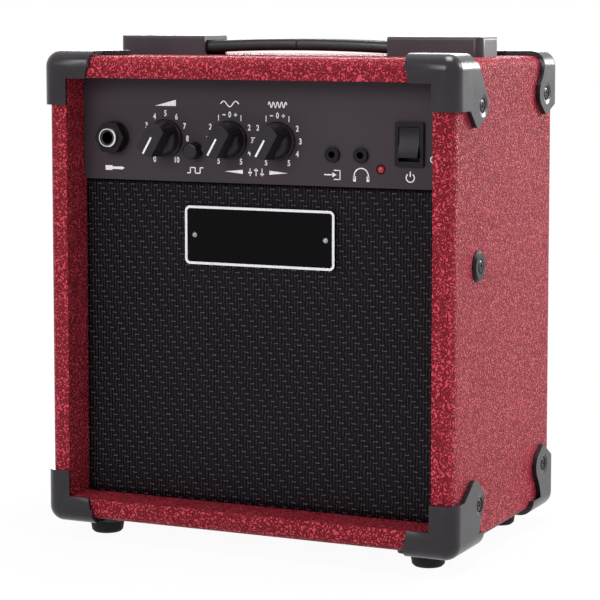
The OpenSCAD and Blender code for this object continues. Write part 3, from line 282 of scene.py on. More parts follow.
@dataclass(frozen=True)
class SpeakerCloth(Finish):
    """Loudspeaker cloth woven from coated polyester threads: a twill of upright cords under short floats."""

    # The gap colour is painted shade in the gaps and pits, the float colour a painted highlight on the raised
    # floats; the cord colour is the thread's own.
    gap_shade: str = "020102"
    cord: str = "201A20"
    float_highlight: str = "5A525C"
    repeat_mm: float = 7.16
    cords_per_repeat: int = 4
    row_mm: float = 2.9
    float_at: float = 0.17
    float_side: Point = (0.58, 0.78)
    float_end: Point = (0.66, 0.96)
    float_lift: float = 1.1
    pit_at: float = 0.25
    pit_depth: float = 0.5
    sway_mm: float = 6.25
    sway_by_mm: Triple = (1.8, 0.0, 1.6)
    # Real fuzz is a few tenths of a millimetre across. It is drawn as coarse as it needs to show.
    fuzz_mm: float = 0.909
    fuzz_share: float = 0.7
    painted_light_spans: tuple[Point, Point] = ((0.45, 1.15), (1.15, 2.2))
    relief_mm: float = 0.45
    roughness: float = 0.55
    gloss: float = 0.1

    def wire(self, tree: Tree, where: Socket) -> dict[str, object]:
        """Wires upright cords, a float over two of them in each row, and the pits left beside it.

        Args:
            tree: The material's tree.
            where: The place on the object.

        Returns:
            The shader's inputs.
        """
        sway = add(tree, "ShaderNodeTexNoise", {
            "Vector": where, "Scale": per_m(self.sway_mm), "Detail": 2.0})["Color"]
        sway_by = tuple(v * MM for v in self.sway_by_mm)
        wavy = add(tree, "ShaderNodeVectorMath", {0: sway, 1: sway_by, 2: where},
                   operation="MULTIPLY_ADD")[0]
        place = add(tree, "ShaderNodeSeparateXYZ", {0: wavy})
        rows = add(tree, "ShaderNodeMath", {0: place["Z"], 1: per_m(self.row_mm)}, operation="MULTIPLY")[0]
        row = add(tree, "ShaderNodeMath", {0: rows}, operation="FLOOR")[0]
        # Each row of floats is stepped one cord sideways from the row below.
        step = add(tree, "ShaderNodeMath", {0: row, 1: 1 / self.cords_per_repeat}, operation="MULTIPLY")[0]
        along = add(tree, "ShaderNodeMath", {0: place["X"], 1: per_m(self.repeat_mm), 2: step},
                    operation="MULTIPLY_ADD")[0]
        cords = self.wave(tree, along, self.cords_per_repeat, 0.0)
        pits = self.wave(tree, along, 1, self.pit_at)
        across = self.wave(tree, along, 1, self.float_at)
        mid_row = self.wave(tree, rows, 1, 0.5)
        over, band = (add(tree, "ShaderNodeMapRange", {"Value": level, "From Min": start, "From Max": end},
                          interpolation_type="SMOOTHSTEP")[0]
                      for level, (start, end) in ((across, self.float_side), (mid_row, self.float_end)))
        floats = add(tree, "ShaderNodeMath", {0: over, 1: band}, operation="MULTIPLY")[0]
        sunk = add(tree, "ShaderNodeMath", {0: pits, 1: -self.pit_depth, 2: 1.0}, operation="MULTIPLY_ADD")[0]
        ground = add(tree, "ShaderNodeMath", {0: cords, 1: sunk}, operation="MULTIPLY")[0]
        woven = add(tree, "ShaderNodeMath", {0: floats, 1: self.float_lift, 2: ground},
                    operation="MULTIPLY_ADD")[0]
        fuzz = add(tree, "ShaderNodeTexNoise", {
            "Vector": where, "Scale": per_m(self.fuzz_mm), "Detail": 2.0})["Fac"]
        height = add(tree, "ShaderNodeMath", {0: fuzz, 1: self.fuzz_share, 2: woven},
                     operation="MULTIPLY_ADD")[0]
        # The colour follows the height: painted shade in the gaps and pits, a painted highlight on the floats.
        colour = tint(tree, height, (self.gap_shade, self.cord, self.float_highlight), self.painted_light_spans)
        bump = add(tree, "ShaderNodeBump", {"Height": height, "Distance": self.relief_mm * MM})[0]
        return {"Base Color": colour, "Normal": bump, "Roughness": self.roughness,
                "Specular IOR Level": self.gloss}

    def wave(self, tree: Tree, run: Socket, count: int, crest: float) -> Socket:
        """Wires a cosine between 0 and 1 that follows the weave.

        Args:
            tree: The material's tree.
            run: How far along the weave, in repeats.
            count: Waves in one repeat.
            crest: Where in the repeat its crest is.

        Returns:
            The wave.
        """
        full = 2 * math.pi * count
        turn = add(tree, "ShaderNodeMath", {0: run, 1: full, 2: -full * crest}, operation="MULTIPLY_ADD")[0]
        cosine = add(tree, "ShaderNodeMath", {0: turn}, operation="COSINE")[0]
        return add(tree, "ShaderNodeMath", {0: cosine, 1: 0.5, 2: 0.5}, operation="MULTIPLY_ADD")[0]


@dataclass(frozen=True)
class Moulded(Finish):
    """Injection-moulded plastic from a spark-eroded tool.

    The real pits are a tenth of a millimetre across. They are drawn as coarse as they need to show.
    """

    colour: str
    worn: str
    roughness: float
    pit_mm: float
    relief_mm: float
    gloss: float
    smear_mm: float = 22.2
    pit_share: float = 0.4
    tone: Point = (0.5, 0.9)
    shine: float = 0.05
    dry_smears: float = 0.07

    def wire(self, tree: Tree, where: Socket) -> dict[str, object]:
        """Wires the tool's fine pitting and the paler smears that handling leaves.

        Args:
            tree: The material's tree.
            where: The place on the object.

        Returns:
            The shader's inputs.
        """
        pits = add(tree, "ShaderNodeTexNoise", {
            "Vector": where, "Scale": per_m(self.pit_mm), "Detail": 3.0})["Fac"]
        smear = add(tree, "ShaderNodeTexNoise", {
            "Vector": where, "Scale": per_m(self.smear_mm), "Detail": 4.0, "Roughness": 0.6})["Fac"]
        mixed = add(tree, "ShaderNodeMath", {0: pits, 1: self.pit_share, 2: smear},
                    operation="MULTIPLY_ADD")[0]
        dull = add(tree, "ShaderNodeMapRange", {
            "Value": smear, "From Min": NOISE_LOW, "From Max": NOISE_HIGH,
            "To Min": self.roughness - self.shine, "To Max": self.roughness + self.dry_smears})[0]
        bump = add(tree, "ShaderNodeBump", {"Height": pits, "Distance": self.relief_mm * MM})[0]
        return {"Base Color": tint(tree, mixed, (self.colour, self.worn), (self.tone,)),
                "Roughness": dull, "Normal": bump, "Specular IOR Level": self.gloss}


@dataclass(frozen=True)
class PowderCoat(Finish):
    """Steel sprayed with powder and baked, or another sprayed skin that dries with an orange peel."""

    colour: str
    thin: str
    roughness: float
    relief_mm: float
    gloss: float
    cloud_mm: float = 71.4
    peel_mm: float = 0.833
    tone: Point = (0.32, 0.68)
    swing: float = 0.06

    def wire(self, tree: Tree, where: Socket) -> dict[str, object]:
        """Wires the orange peel, under a millimetre across, and slow clouds in the coat's thickness.

        Args:
            tree: The material's tree.
            where: The place on the object.

        Returns:
            The shader's inputs.
        """
        cloud = add(tree, "ShaderNodeTexNoise", {
            "Vector": where, "Scale": per_m(self.cloud_mm), "Detail": 3.0})["Fac"]
        peel = add(tree, "ShaderNodeTexNoise", {
            "Vector": where, "Scale": per_m(self.peel_mm), "Detail": 2.0})["Fac"]
        dull = add(tree, "ShaderNodeMapRange", {
            "Value": peel, "From Min": NOISE_LOW, "From Max": NOISE_HIGH,
            "To Min": self.roughness - self.swing, "To Max": self.roughness + self.swing})[0]
        bump = add(tree, "ShaderNodeBump", {"Height": peel, "Distance": self.relief_mm * MM})[0]
        return {"Base Color": tint(tree, cloud, (self.thin, self.colour), (self.tone,)),
                "Roughness": dull, "Normal": bump, "Specular IOR Level": self.gloss}


@dataclass(frozen=True)
class NamePlate(Finish):
    """ABS moulded with a raised edge that is hot-stamped white."""

    field_colour: str = "0A090B"
    edge_colour: str = "E4E0E6"
    edge_mm: float = 0.35
    smear_mm: float = 16.67
    ripple_mm: float = 2.083
    relief_mm: float = 0.012
    shiny: float = 0.26
    dry: float = 0.36
    gloss: float = 0.04

    def wire(self, tree: Tree, where: Socket) -> dict[str, object]:
        """Wires white where the surface stands in front of the plate's field.

        Args:
            tree: The material's tree.
            where: The place on the object.

        Returns:
            The shader's inputs.
        """
        front = span("badge_plate")[0][1]
        depth = add(tree, "ShaderNodeSeparateXYZ", {0: where})["Y"]
        raised = add(tree, "ShaderNodeMath", {0: depth, 1: at(0, front + self.edge_mm, 0).y},
                     operation="LESS_THAN")[0]
        smear = add(tree, "ShaderNodeTexNoise", {
            "Vector": where, "Scale": per_m(self.smear_mm), "Detail": 4.0})["Fac"]
        dull = add(tree, "ShaderNodeMapRange", {
            "Value": smear, "From Min": NOISE_LOW, "From Max": NOISE_HIGH,
            "To Min": self.shiny, "To Max": self.dry})[0]
        ripple = add(tree, "ShaderNodeTexNoise", {
            "Vector": where, "Scale": per_m(self.ripple_mm), "Detail": 2.0})["Fac"]
        bump = add(tree, "ShaderNodeBump", {"Height": ripple, "Distance": self.relief_mm * MM})[0]
        return {"Base Color": tint(tree, raised, (self.field_colour, self.edge_colour), ((0.0, 1.0),)),
                "Roughness": dull, "Normal": bump, "Specular IOR Level": self.gloss}


@dataclass(frozen=True)
class Metal(Finish):
    """Metal with the marks of how it was drawn, plated or stamped."""

    colour: str
    dark: str
    roughness: float
    stretch: Triple = (1.0, 1.0, 1.0)
    relief_mm: float = 0.01
    mark_mm: float = 3.125
    shine: float = 0.05
    dry: float = 0.06

    def wire(self, tree: Tree, where: Socket) -> dict[str, object]:
        """Wires tool marks, stretched the way the metal was worked.

        Args:
            tree: The material's tree.
            where: The place on the object.

        Returns:
            The shader's inputs.
        """
        worked = add(tree, "ShaderNodeMapping", {"Vector": where, "Scale": self.stretch})[0]
        marks = add(tree, "ShaderNodeTexNoise", {
            "Vector": worked, "Scale": per_m(self.mark_mm), "Detail": 4.0})["Fac"]
        dull = add(tree, "ShaderNodeMapRange", {
            "Value": marks, "From Min": NOISE_LOW, "From Max": NOISE_HIGH,
            "To Min": self.roughness - self.shine, "To Max": self.roughness + self.dry})[0]
        bump = add(tree, "ShaderNodeBump", {"Height": marks, "Distance": self.relief_mm * MM})[0]
        return {"Base Color": tint(tree, marks, (self.dark, self.colour), ((NOISE_LOW, NOISE_HIGH),)),
                "Roughness": dull, "Normal": bump, "Metallic": 1.0}


@dataclass(frozen=True)
class PlatedRing(Finish):
    """Nickel-plated brass round the middle of a solid, about a black land painted as the dark reflection in
    the bushing's inner cone.
    """

    round_node: str
    painted_land_mm: float
    plate: str = "D6D3D2"
    # Painted black that stands for the dark reflection inside the bushing.
    nylon: str = "100E10"
    roughness: float = 0.16
    mark_mm: float = 1.111
    dry: float = 0.12

    def wire(self, tree: Tree, where: Socket) -> dict[str, object]:
        """Wires painted black, standing for a dark reflection, inside the land's radius and plate outside it.

        Args:
            tree: The material's tree.
            where: The place on the object.

        Returns:
            The shader's inputs.
        """
        centre = at(*middle(self.round_node))
        off = add(tree, "ShaderNodeVectorMath", {0: where, 1: centre}, operation="SUBTRACT")[0]
        flat = add(tree, "ShaderNodeVectorMath", {0: off, 1: (1.0, 0.0, 1.0)}, operation="MULTIPLY")[0]
        radius = add(tree, "ShaderNodeVectorMath", {0: flat}, operation="LENGTH")["Value"]
        plated = add(tree, "ShaderNodeMath", {0: radius, 1: self.painted_land_mm * MM},
                     operation="GREATER_THAN")[0]
        marks = add(tree, "ShaderNodeTexNoise", {
            "Vector": where, "Scale": per_m(self.mark_mm), "Detail": 2.0})["Fac"]
        dull = add(tree, "ShaderNodeMapRange", {
            "Value": marks, "To Min": self.roughness, "To Max": self.roughness + self.dry})[0]
        return {"Base Color": tint(tree, plated, (self.nylon, self.plate), ((0.0, 1.0),)),
                "Metallic": plated, "Roughness": dull}


@dataclass(frozen=True)
class Fibres(Finish):
    """Matted fibres: pressed wood, paper pulp, or cloth stiffened with resin."""

    dark: str
    light: str
    roughness: float
    # Real fibres are finer than a tenth of a millimetre. They are drawn as coarse as they need to show.
    fibre_mm: float = 1.111
    stretch: Triple = (1.0, 1.0, 1.0)
    relief_mm: float = 0.12
    tone: Point = (0.34, 0.66)
    gloss: float = 0.25

    def wire(self, tree: Tree, where: Socket) -> dict[str, object]:
        """Wires fibres that are paler where they lie on top.

        Args:
            tree: The material's tree.
            where: The place on the object.

        Returns:
            The shader's inputs.
        """
        laid = add(tree, "ShaderNodeMapping", {"Vector": where, "Scale": self.stretch})[0]
        mat = add(tree, "ShaderNodeTexNoise", {
            "Vector": laid, "Scale": per_m(self.fibre_mm), "Detail": 6.0, "Roughness": 0.7})["Fac"]
        bump = add(tree, "ShaderNodeBump", {"Height": mat, "Distance": self.relief_mm * MM})[0]
        return {"Base Color": tint(tree, mat, (self.dark, self.light), (self.tone,)), "Normal": bump,
                "Roughness": self.roughness, "Specular IOR Level": self.gloss}


@dataclass(frozen=True)
class Lens(Finish):
    """Red-tinted epoxy, cast with a diffuser inside."""

    deep: str = "5A0A14"
    colour: str = "B2121F"
    haze_mm: float = 1.429
    roughness: float = 0.22
    skin: float = 0.5
    skin_roughness: float = 0.08

    def wire(self, tree: Tree, where: Socket) -> dict[str, object]:
        """Wires the diffuser's cloudiness under a clear skin.

        Args:
            tree: The material's tree.
            where: The place on the object.

        Returns:
            The shader's inputs.
        """
        haze = add(tree, "ShaderNodeTexNoise", {
            "Vector": where, "Scale": per_m(self.haze_mm), "Detail": 2.0})["Fac"]
        return {"Base Color": tint(tree, haze, (self.deep, self.colour), ((0.0, 1.0),)),
                "Roughness": self.roughness, "Coat Weight": self.skin, "Coat Roughness": self.skin_roughness}


@dataclass(frozen=True)
class Ink(Finish):
    """Screen-printed epoxy ink."""

    thin: str = "C9C5CB"
    colour: str = "EFEDF0"
    # Real screen threads stand a tenth of a millimetre apart. They are drawn as coarse as they need to show.
    screen_mm: float = 0.667
    tone: Point = (0.3, 0.55)
    roughness: float = 0.55
    gloss: float = 0.3

    def wire(self, tree: Tree, where: Socket) -> dict[str, object]:
        """Wires a coat that thins a little between the screen's threads.

        Args:
            tree: The material's tree.
            where: The place on the object.

        Returns:
            The shader's inputs.
        """
        screen = add(tree, "ShaderNodeTexNoise", {
            "Vector": where, "Scale": per_m(self.screen_mm), "Detail": 2.0})["Fac"]
        return {"Base Color": tint(tree, screen, (self.thin, self.colour), (self.tone,)),
                "Roughness": self.roughness, "Specular IOR Level": self.gloss}


class Look(Enum):
    """Every finish of the amplifier."""

    # Embossed PVC leathercloth: deep red creases darkened with painted shade, and a painted pink glint on the
    # crest of each wrinkle.
    VINYL = GrainedVinyl("leathercloth_pvc_embossed_red")
    # The same leathercloth in black, as the back boards wear it: only its glints show the grain, the rendered
    # ones and a paler painted glint on each crest.
    BACK_VINYL = GrainedVinyl("leathercloth_pvc_embossed_black", "0B0A0C", "131115", "201C22",
                              relief_mm=0.9, roughness=0.42)
    # Woven polyester speaker cloth: near black, with painted shade in its gaps and rows of short dashes
    # painted paler as a painted highlight on the floats.
    CLOTH = SpeakerCloth("speaker_cloth_polyester_woven")
    # Moulded ABS in dark grey: a satin skin that goes pale only along its edges.
    GUARD = Moulded("abs_moulded_dark_grey", "19131A", "201A21", 0.26, 1.429, 0.02, 0.38)
    # The same plastic on the handle caps, drier from wear: a paler, flatter grey.
    CAP = Moulded("abs_moulded_worn_grey", "30272F", "3A3038", 0.36, 1.429, 0.03, 0.36)
    # Moulded nylon of the knobs: dull, so that the white line stands out.
    KNOB = Moulded("nylon_moulded_black", "140E14", "1D161E", 0.36, 1.111, 0.03, 0.28)
    # Moulded ABS of switches and sockets: a little glossier, with soft lines of light on its edges.
    BLACK = Moulded("abs_moulded_black", "0F0A0F", "171118", 0.34, 1.111, 0.02, 0.17)
    # Soft PVC moulded over a steel band: a damp sheen along the strap.
    STRAP = Moulded("soft_pvc_moulded", "0A090B", "131014", 0.3, 2.0, 0.05, 0.4)
    # Moulded ABS with a stamped edge: a clean white frame about a black field.
    BADGE = NamePlate("abs_moulded_hot_stamped")
    # Powder-coated steel of the panel: an even, warm dark grey that lets the print read.
    PANEL = PowderCoat("steel_powder_coated_grey", "362D34", "2F272D", 0.48, 0.02, 0.22)
    # Stamped steel of the loudspeaker, powder-coated black.
    BASKET = PowderCoat("steel_powder_coated_black", "161517", "111012", 0.42, 0.03, 0.4)
    # Moulded rubber of the feet: flat black with a grey bloom.
    RUBBER = Fibres("rubber_moulded", "0B0A0C", "1A181B", 0.72, 3.846)
    # Blued steel screws: dark, with a thin line of light round the head.
    OXIDE = Metal("steel_black_oxide", "2C2A2D", "201E21", 0.34)
    # Zinc-plated steel of tray, shafts and nuts: a cool grey with faint drawing lines.
    ZINC = Metal("steel_zinc_plated", "A7A9AB", "8C8E90", 0.34, (1.0, 1.0, 0.2))
    # Bright nickel on turned brass about a black land that is a painted dark reflection: a thin ring that
    # mirrors its surroundings.
    NICKEL = PlatedRing("brass_nickel_plated", "input_jack_nut", 4.5)
    # Extruded aluminium of the cooler: fine lines along its fins.
    ALUMINIUM = Metal("aluminium_extruded", "B5B6B8", "9C9DA0", 0.4, (0.1, 1.0, 1.0), 0.02)
    # Stacked and varnished transformer iron: the stack shows as thin lines.
    IRON = Metal("iron_laminated_varnished", "5C5957", "3F3D3B", 0.55, (1.0, 8.0, 1.0), 0.05)
    # Sintered ferrite between pressed plates: matt charcoal.
    FERRITE = PowderCoat("ferrite_sintered", "2B2A2D", "232225", 0.66, 0.06, 0.25)
    # Raw medium-density fibreboard: an even felt of brown fibres.
    MDF = Fibres("mdf_sawn", "5F452C", "8A6B48", 0.88, 1.923)
    # Sawn pine: long pale and dark fibres up the batten.
    PINE = Fibres("pine_sawn", "9B6F3E", "C7A172", 0.8, 2.381, (1.0, 1.0, 0.05))
    # Pressed paper pulp of cone and cap: soft black felt.
    PAPER = Fibres("paper_pulp_pressed", "131214", "242225", 0.86)
    # Cotton cloth doped with rubber, folded as the cone's surround: black with a soft shine on its folds.
    TREATED = Fibres("cotton_doped", "141315", "222023", 0.66)
    # Cotton stiffened with resin, pressed in rings: a dull amber.
    SPIDER = Fibres("cotton_resin_pressed", "8A6229", "B4863F", 0.8)
    # Solder mask over glass-fibre laminate: a clear green lacquer.
    SOLDERMASK = PowderCoat("laminate_solder_mask", "1E5A36", "194B2D", 0.32, 0.01, 0.5)
    # Shrunk PVC sleeve of the capacitors: tight, dark blue and slightly glossy.
    SLEEVE = Moulded("pvc_shrunk_sleeve", "14182B", "1D2238", 0.35, 1.667, 0.01, 0.5)
    # Polyester tape over the winding: amber and smooth.
    TAPE = Moulded("polyester_tape_wound", "B98A2E", "CFA14A", 0.4, 3.333, 0.03, 0.5)
    # Cast epoxy lamp, unlit: a dark red bead.
    LENS = Lens("epoxy_cast_red")
    # Screen-printed ink: flat pale grey.
    INK = Ink("epoxy_ink_screen_printed")


@dataclass(frozen=True)
class Dressing:
    """Carried-over solids that get the same finish and the same broken edges."""

    look: Look
    bevel_mm: float
    names: tuple[str, ...]


DRESSINGS = (
    Dressing(Look.VINYL, 0.9, ("top_board", "bottom_board", "side_board_left", "side_board_right")),
    Dressing(Look.BACK_VINYL, 0.6, ("back_panel_upper", "back_panel_lower")),
    Dressing(Look.MDF, 0.3, ("baffle_board",)),
    Dressing(Look.PINE, 0.6, ("cabinet_battens",)),
    Dressing(Look.BADGE, 0.25, ("badge_plate",)),
    Dressing(Look.PANEL, 0.3, ("control_panel",)),
    Dressing(Look.GUARD, 0.55, tuple(
        f"corner_guard_{end}_{side}_{level}"
        for end in ("front", "rear") for side in ("left", "right") for level in ("top", "bottom"))),
    Dressing(Look.CAP, 0.5, ("handle_cap_left", "handle_cap_right")),
    Dressing(Look.OXIDE, 0.0, ("cup_washers",)),
    Dressing(Look.RUBBER, 0.0, ("rubber_feet",)),
    Dressing(Look.NICKEL, 0.0, ("input_jack_bushing",)),
    Dressing(Look.BLACK, 0.2, ("drive_switch",)),
    Dressing(Look.BLACK, 0.25, ("aux_jack", "headphone_jack")),
    Dressing(Look.BLACK, 0.3, ("input_jack_body",)),
    Dressing(Look.BLACK, 0.4, ("input_jack_nut", "rocker_switch_frame", "mains_inlet")),
    Dressing(Look.BLACK, 0.5, ("power_rocker",)),
    Dressing(Look.KNOB, 0.35, ("volume_knob", "bass_knob", "treble_knob")),
    Dressing(Look.KNOB, 0.0, ("drive_button",)),
    Dressing(Look.LENS, 0.0, ("power_light",)),
    Dressing(Look.ZINC, 0.0, ("volume_shaft", "bass_shaft", "treble_shaft")),
    Dressing(Look.ZINC, 0.15, ("machine_screws",)),
    Dressing(Look.ZINC, 0.2, ("chassis_tray", "potentiometers", "pot_nuts")),
    Dressing(Look.SOLDERMASK, 0.0, ("circuit_board",)),
    Dressing(Look.SLEEVE, 0.4, ("board_parts",)),
    Dressing(Look.ALUMINIUM, 0.2, ("heat_sink",)),
    Dressing(Look.IRON, 0.2, ("transformer_core",)),
    Dressing(Look.TAPE, 0.6, ("transformer_coil",)),
    Dressing(Look.BASKET, 0.3, ("speaker_basket",)),
    Dressing(Look.FERRITE, 0.3, ("speaker_magnet",)),
    Dressing(Look.TREATED, 0.0, ("speaker_surround",)),
    Dressing(Look.SPIDER, 0.0, ("speaker_spider",)),
    Dressing(Look.PAPER, 0.0, ("speaker_cone", "dust_cap")),
)


# ---------------------------------------------------------------- mesh helpers

MERGE_WITHIN = 1e-6
FLAT_WITHIN = math.radians(0.5)
SHARP_OVER = math.radians(32.0)
FLAT_WEIGHT = 90


def new_object(name: str, data: bpy.types.ID) -> bpy.types.Object:
    """Links an object to the scene, at the origin.

    Args:
        name: The object's name.
        data: Its mesh, curve, light or camera.

    Returns:
        The object.
    """
    obj = bpy.data.objects.new(name, data)
    bpy.context.scene.collection.objects.link(obj)
    return obj


def new_piece(name: str, mesh: bpy.types.Mesh, look: Look) -> bpy.types.Object:
    """Makes a finished piece from a mesh.

    Args:
        name: The piece's name.
        mesh: Its mesh, in the row frame.
        look: Its finish.

    Returns:
        The object.
    """
    mesh.materials.clear()
    mesh.materials.append(look.value.material())
    LOG.info("%s: %d faces", name, len(mesh.polygons))
    return new_object(name, mesh)


def evaluated_mesh(obj: bpy.types.Object) -> bpy.types.Mesh:
    """Gives an object's mesh as its modifiers leave it.

    Args:
        obj: The object.

    Returns:
        The mesh.
    """
    return bpy.data.meshes.new_from_object(obj.evaluated_get(bpy.context.evaluated_depsgraph_get()))


def mesh_from(bm: bmesh.types.BMesh, name: str, smooth: bool = True) -> bpy.types.Mesh:
    """Turns an edit mesh into a mesh and frees it.

    Args:
        bm: The edit mesh.
        name: The mesh's name.
        smooth: Whether its faces shade smooth.

    Returns:
        The mesh.
    """
    bmesh.ops.recalc_face_normals(bm, faces=bm.faces)
    for face in bm.faces:
        face.smooth = smooth
    mesh = bpy.data.meshes.new(name)
    bm.to_mesh(mesh)
    bm.free()
    return mesh


def bridge(bm: bmesh.types.BMesh, rings: Sequence[Sequence[bmesh.types.BMVert]]) -> None:
    """Joins closed rings of equal length with quads.

    Args:
        bm: The edit mesh.
        rings: The rings, in order.
    """
    size = len(rings[0])
    for a, b in zip(rings, rings[1:]):
        for k in range(size):
            bm.faces.new([a[k], a[(k + 1) % size], b[(k + 1) % size], b[k]])


def new_tree(name: str, inputs: dict[str, str]) -> Tree:
    """Starts a Geometry Nodes tree with named inputs.

    Args:
        name: The tree's name.
        inputs: The socket type of each input after the geometry, by its name.

    Returns:
        The tree.
    """
    tree = bpy.data.node_groups.new(name, "GeometryNodeTree")
    tree.interface.new_socket("Geometry", in_out="INPUT", socket_type="NodeSocketGeometry")
    for label, kind in inputs.items():
        tree.interface.new_socket(label, in_out="INPUT", socket_type=kind)
    tree.interface.new_socket("Geometry", in_out="OUTPUT", socket_type="NodeSocketGeometry")
    return tree


def run_tree(obj: bpy.types.Object, tree: Tree, values: dict[str, object]) -> None:
    """Puts a Geometry Nodes tree on an object as a modifier.

    Args:
        obj: The object.
        tree: The tree.
        values: What its named inputs are set to.
    """
    modifier = obj.modifiers.new(tree.name, "NODES")
    modifier.node_group = tree
    for item in tree.interface.items_tree:
        if item.in_out == "INPUT" and item.name in values:
            modifier[item.identifier] = values[item.name]


def shading_tree() -> Tree:
    """Makes the tree that shades faces smooth and keeps edges over a chosen angle sharp.

    Returns:
        The tree.
    """
    known = bpy.data.node_groups.get("smooth_under_angle")
    if known:
        return known
    tree = new_tree("smooth_under_angle", {"Angle": "NodeSocketFloat"})
    given = add(tree, "NodeGroupInput")
    turn = add(tree, "GeometryNodeInputMeshEdgeAngle")["Unsigned Angle"]
    under = add(tree, "FunctionNodeCompare", {0: turn, 1: given["Angle"]},
                data_type="FLOAT", operation="LESS_THAN")[0]
    faces = add(tree, "GeometryNodeSetShadeSmooth", {"Geometry": given["Geometry"]}, domain="FACE")[0]
    edges = add(tree, "GeometryNodeSetShadeSmooth", {"Geometry": faces, "Shade Smooth": under},
                domain="EDGE")[0]
    add(tree, "NodeGroupOutput", {"Geometry": edges})
    return tree


def soften(obj: bpy.types.Object, bevel_mm: float) -> None:
    """Breaks an object's edges with modifiers and shades it.

    Args:
        obj: The object.
        bevel_mm: Width of the broken edges, 0 for none.
    """
    weld = obj.modifiers.new("Weld", "WELD")
    weld.merge_threshold = MERGE_WITHIN
    if bevel_mm:
        flat = obj.modifiers.new("Flat", "DECIMATE")
        flat.decimate_type = "DISSOLVE"
        flat.angle_limit = FLAT_WITHIN
        bevel = obj.modifiers.new("Edges", "BEVEL")
        bevel.width = bevel_mm * MM
        bevel.segments = 2
        bevel.limit_method = "ANGLE"
        bevel.angle_limit = SHARP_OVER
        bevel.use_clamp_overlap = True
    run_tree(obj, shading_tree(), {"Angle": SHARP_OVER})
    # Large faces keep their own normal, so that a flat side stays flat beside a rounded edge.
    flats = obj.modifiers.new("Flats", "WEIGHTED_NORMAL")
    flats.weight = FLAT_WEIGHT
    flats.keep_sharp = True


def repeat(name: str, source: bpy.types.Mesh, places: Sequence[tuple[Vector, Euler]],
           look: Look) -> bpy.types.Object:
    """Repeats a mesh on points with Geometry Nodes and keeps the result as one mesh.

    Args:
        name: The piece's name.
        source: The mesh to repeat, about the origin.
        places: Where each copy goes, and how it is turned.
        look: The finish of all copies.

    Returns:
        The piece.
    """
    points = bpy.data.meshes.new(name + "_points")
    points.from_pydata([place for place, _ in places], [], [])
    turns = points.attributes.new("turn", "FLOAT_VECTOR", "POINT")
    for slot, (_, euler) in zip(turns.data, places):
        slot.vector = euler
    tree = new_tree("repeat_" + name, {"Source": "NodeSocketObject", "Finish": "NodeSocketMaterial"})
    given = add(tree, "NodeGroupInput")
    copied = add(tree, "GeometryNodeObjectInfo", {"Object": given["Source"]})["Geometry"]
    turn = add(tree, "GeometryNodeInputNamedAttribute", {"Name": "turn"}, data_type="FLOAT_VECTOR")[0]
    placed = add(tree, "GeometryNodeInstanceOnPoints", {
        "Points": given["Geometry"], "Instance": copied, "Rotation": turn})[0]
    real = add(tree, "GeometryNodeRealizeInstances", {0: placed})[0]
    finished = add(tree, "GeometryNodeSetMaterial", {"Geometry": real, "Material": given["Finish"]})[0]
    add(tree, "NodeGroupOutput", {"Geometry": finished})
    part, host = new_object(name + "_source", source), new_object(name + "_host", points)
    run_tree(host, tree, {"Source": part, "Finish": look.value.material()})
    mesh = evaluated_mesh(host)
    for obj in (part, host):
        bpy.data.objects.remove(obj)
    mesh.name = name
    return new_piece(name, mesh, look)


def arc(x: float, z: float, r: float, start: float, end: float, steps: int) -> list[Point]:
    """Gives points on an arc, measured clockwise from straight up.

    Args:
        x: Centre across.
        z: Centre's height.
        r: Radius.
        start: First angle in degrees.
        end: Last angle in degrees.
        steps: Number of chords.

    Returns:
        The points.
    """
    angles = [math.radians(start + (end - start) * i / steps) for i in range(steps + 1)]
    return [(x + r * math.sin(a), z + r * math.cos(a)) for a in angles]


# ---------------------------------------------------------------- print on the panel


